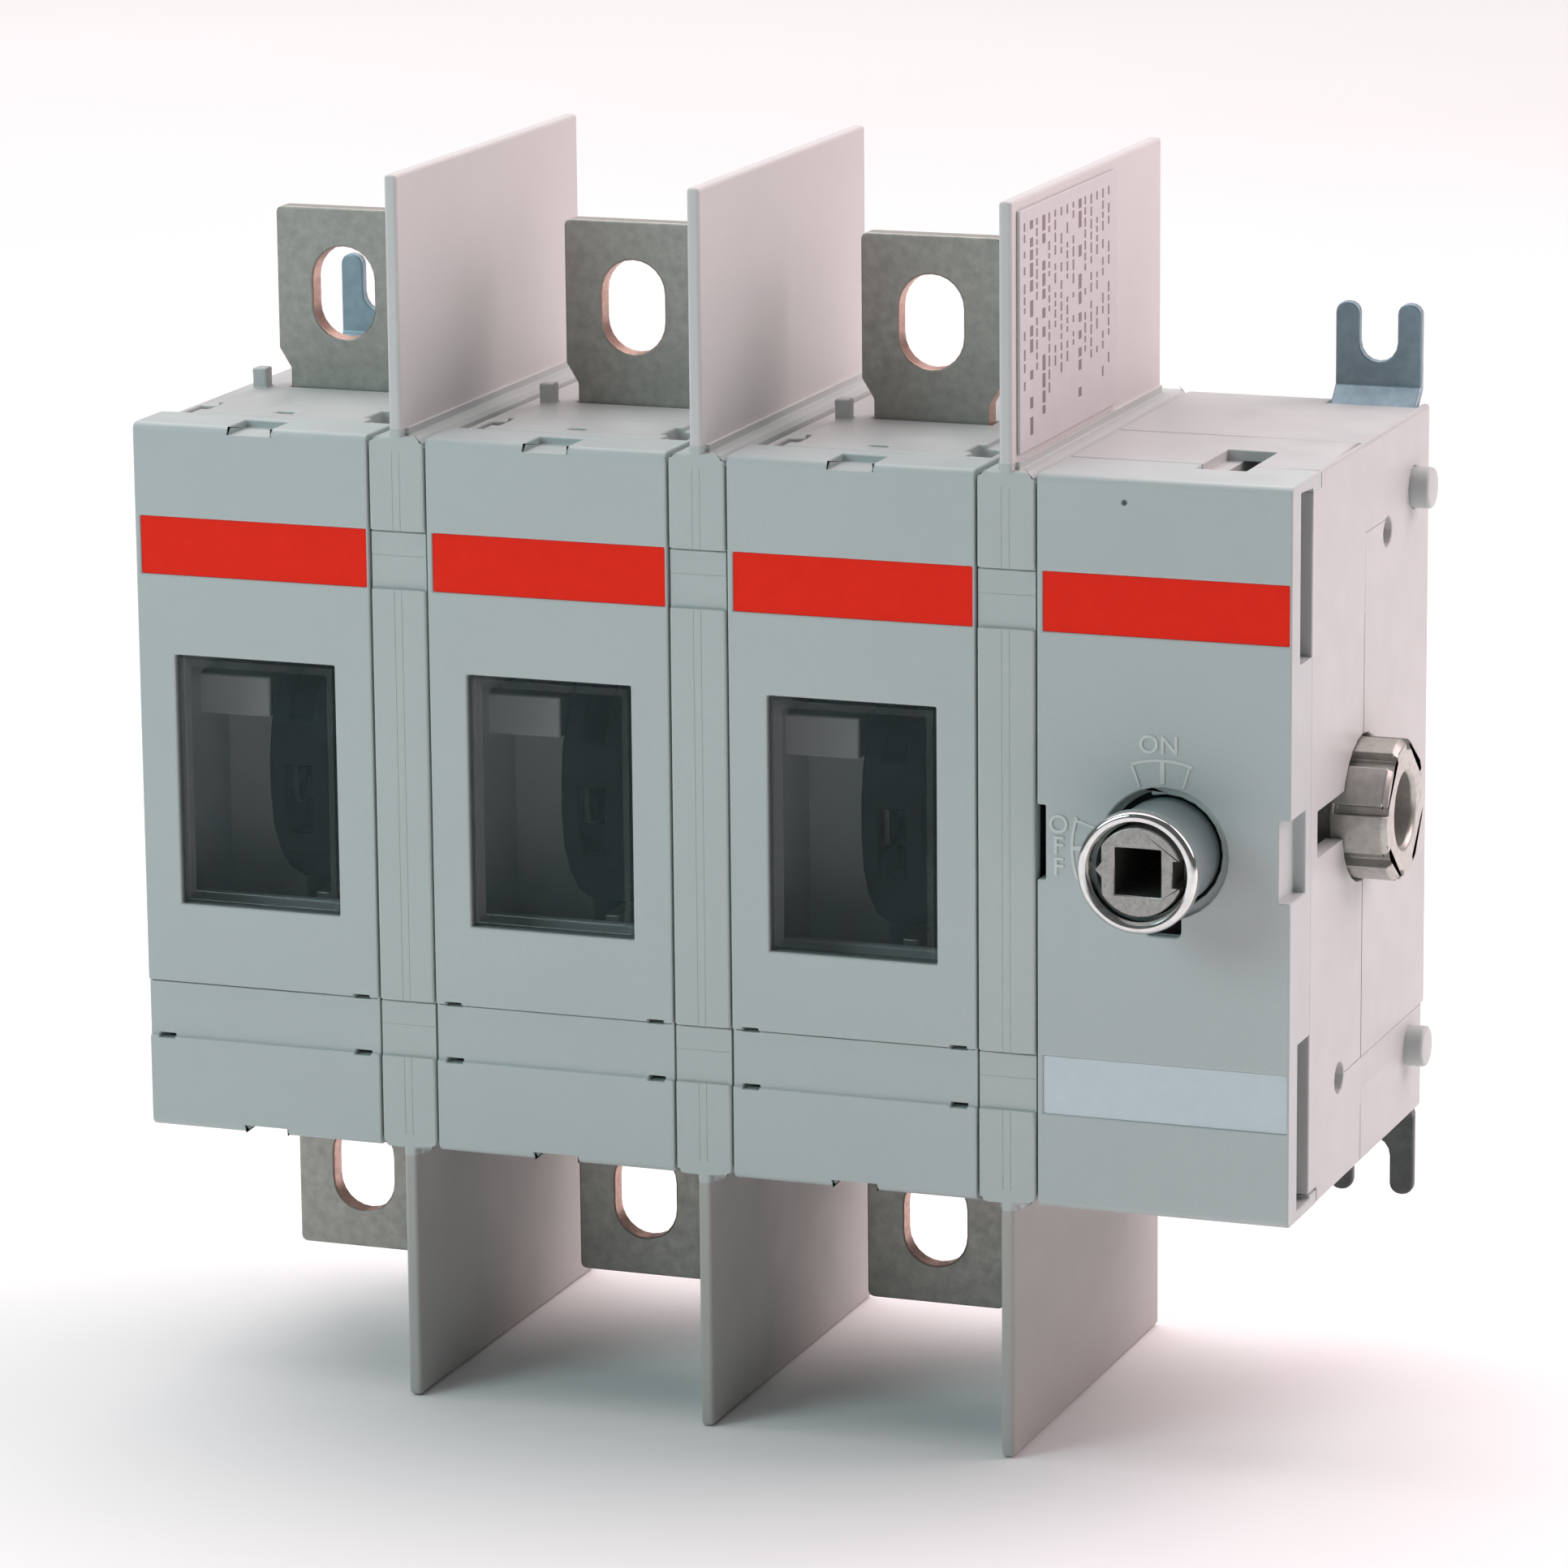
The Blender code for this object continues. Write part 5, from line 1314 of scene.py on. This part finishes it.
def add_light(name, place, size, power, colour):
    light = bpy.data.lights.new(name, "AREA")
    light.shape = "DISK"
    light.size = size
    light.energy = power
    light.color = colour
    item = bpy.data.objects.new(name, light)
    item.location = place
    item.rotation_euler = (-Vector(place)).to_track_quat("-Z", "Y").to_euler()
    bpy.context.scene.collection.objects.link(item)


LIGHTS = (
    # name, place in metres, size, power, colour
    ("key", (0.66, 0.36, 0.50), 0.8, 6.4, (1.0, 0.78, 0.80)),
    ("front", (-0.55, -0.75, 0.45), 0.5, 2.9, (0.72, 0.98, 1.0)),
    ("sky", (-0.6, 0.8, 2.2), 4.0, 92.0, (1.0, 0.93, 0.94)),
)


def add_lights():
    for light in LIGHTS:
        add_light(*light)
    world = bpy.data.worlds.new("studio")
    world.use_nodes = True
    background = world.node_tree.nodes["Background"]
    background.inputs["Color"].default_value = WORLD_COLOUR
    background.inputs["Strength"].default_value = WORLD_STRENGTH
    bpy.context.scene.world = world


def add_camera():
    data = bpy.data.cameras.new("photo_camera")
    data.sensor_width = SENSOR_WIDTH
    data.lens = CAMERA_LENS
    data.clip_start = 0.01
    data.clip_end = 100.0
    camera = bpy.data.objects.new("photo_camera", data)
    place = Vector(CAMERA_PLACE)
    back = (place - Vector(CAMERA_TARGET)).normalized()
    right = (-back).cross(Vector((0, 0, 1))).normalized()
    up = right.cross(-back)
    roll = math.radians(CAMERA_ROLL)
    level_right, level_up = right.copy(), up.copy()
    right = math.cos(roll) * level_right + math.sin(roll) * level_up
    up = -math.sin(roll) * level_right + math.cos(roll) * level_up
    matrix = Matrix((right, up, back)).transposed().to_4x4()
    matrix.translation = place
    camera.matrix_world = matrix
    bpy.context.scene.collection.objects.link(camera)
    bpy.context.scene.camera = camera


# ---------------------------------------------------------------- assembly


def build():
    looks = make_looks()
    dress_cad_nodes(looks)
    add_pole_covers(looks)
    add_lenses(looks)
    add_strips(looks)
    add_rating_label(looks)
    add_housings(looks)
    add_marks(looks)
    add_bases(looks)
    add_barriers(looks)
    add_terminals(looks)
    add_feet(looks)
    add_pins(looks)
    add_drive(looks)
    add_coupling(looks)
    add_rotors(looks)


build()
add_floor()
add_lights()
add_camera()
bpy.context.scene.view_settings.view_transform = "Standard"
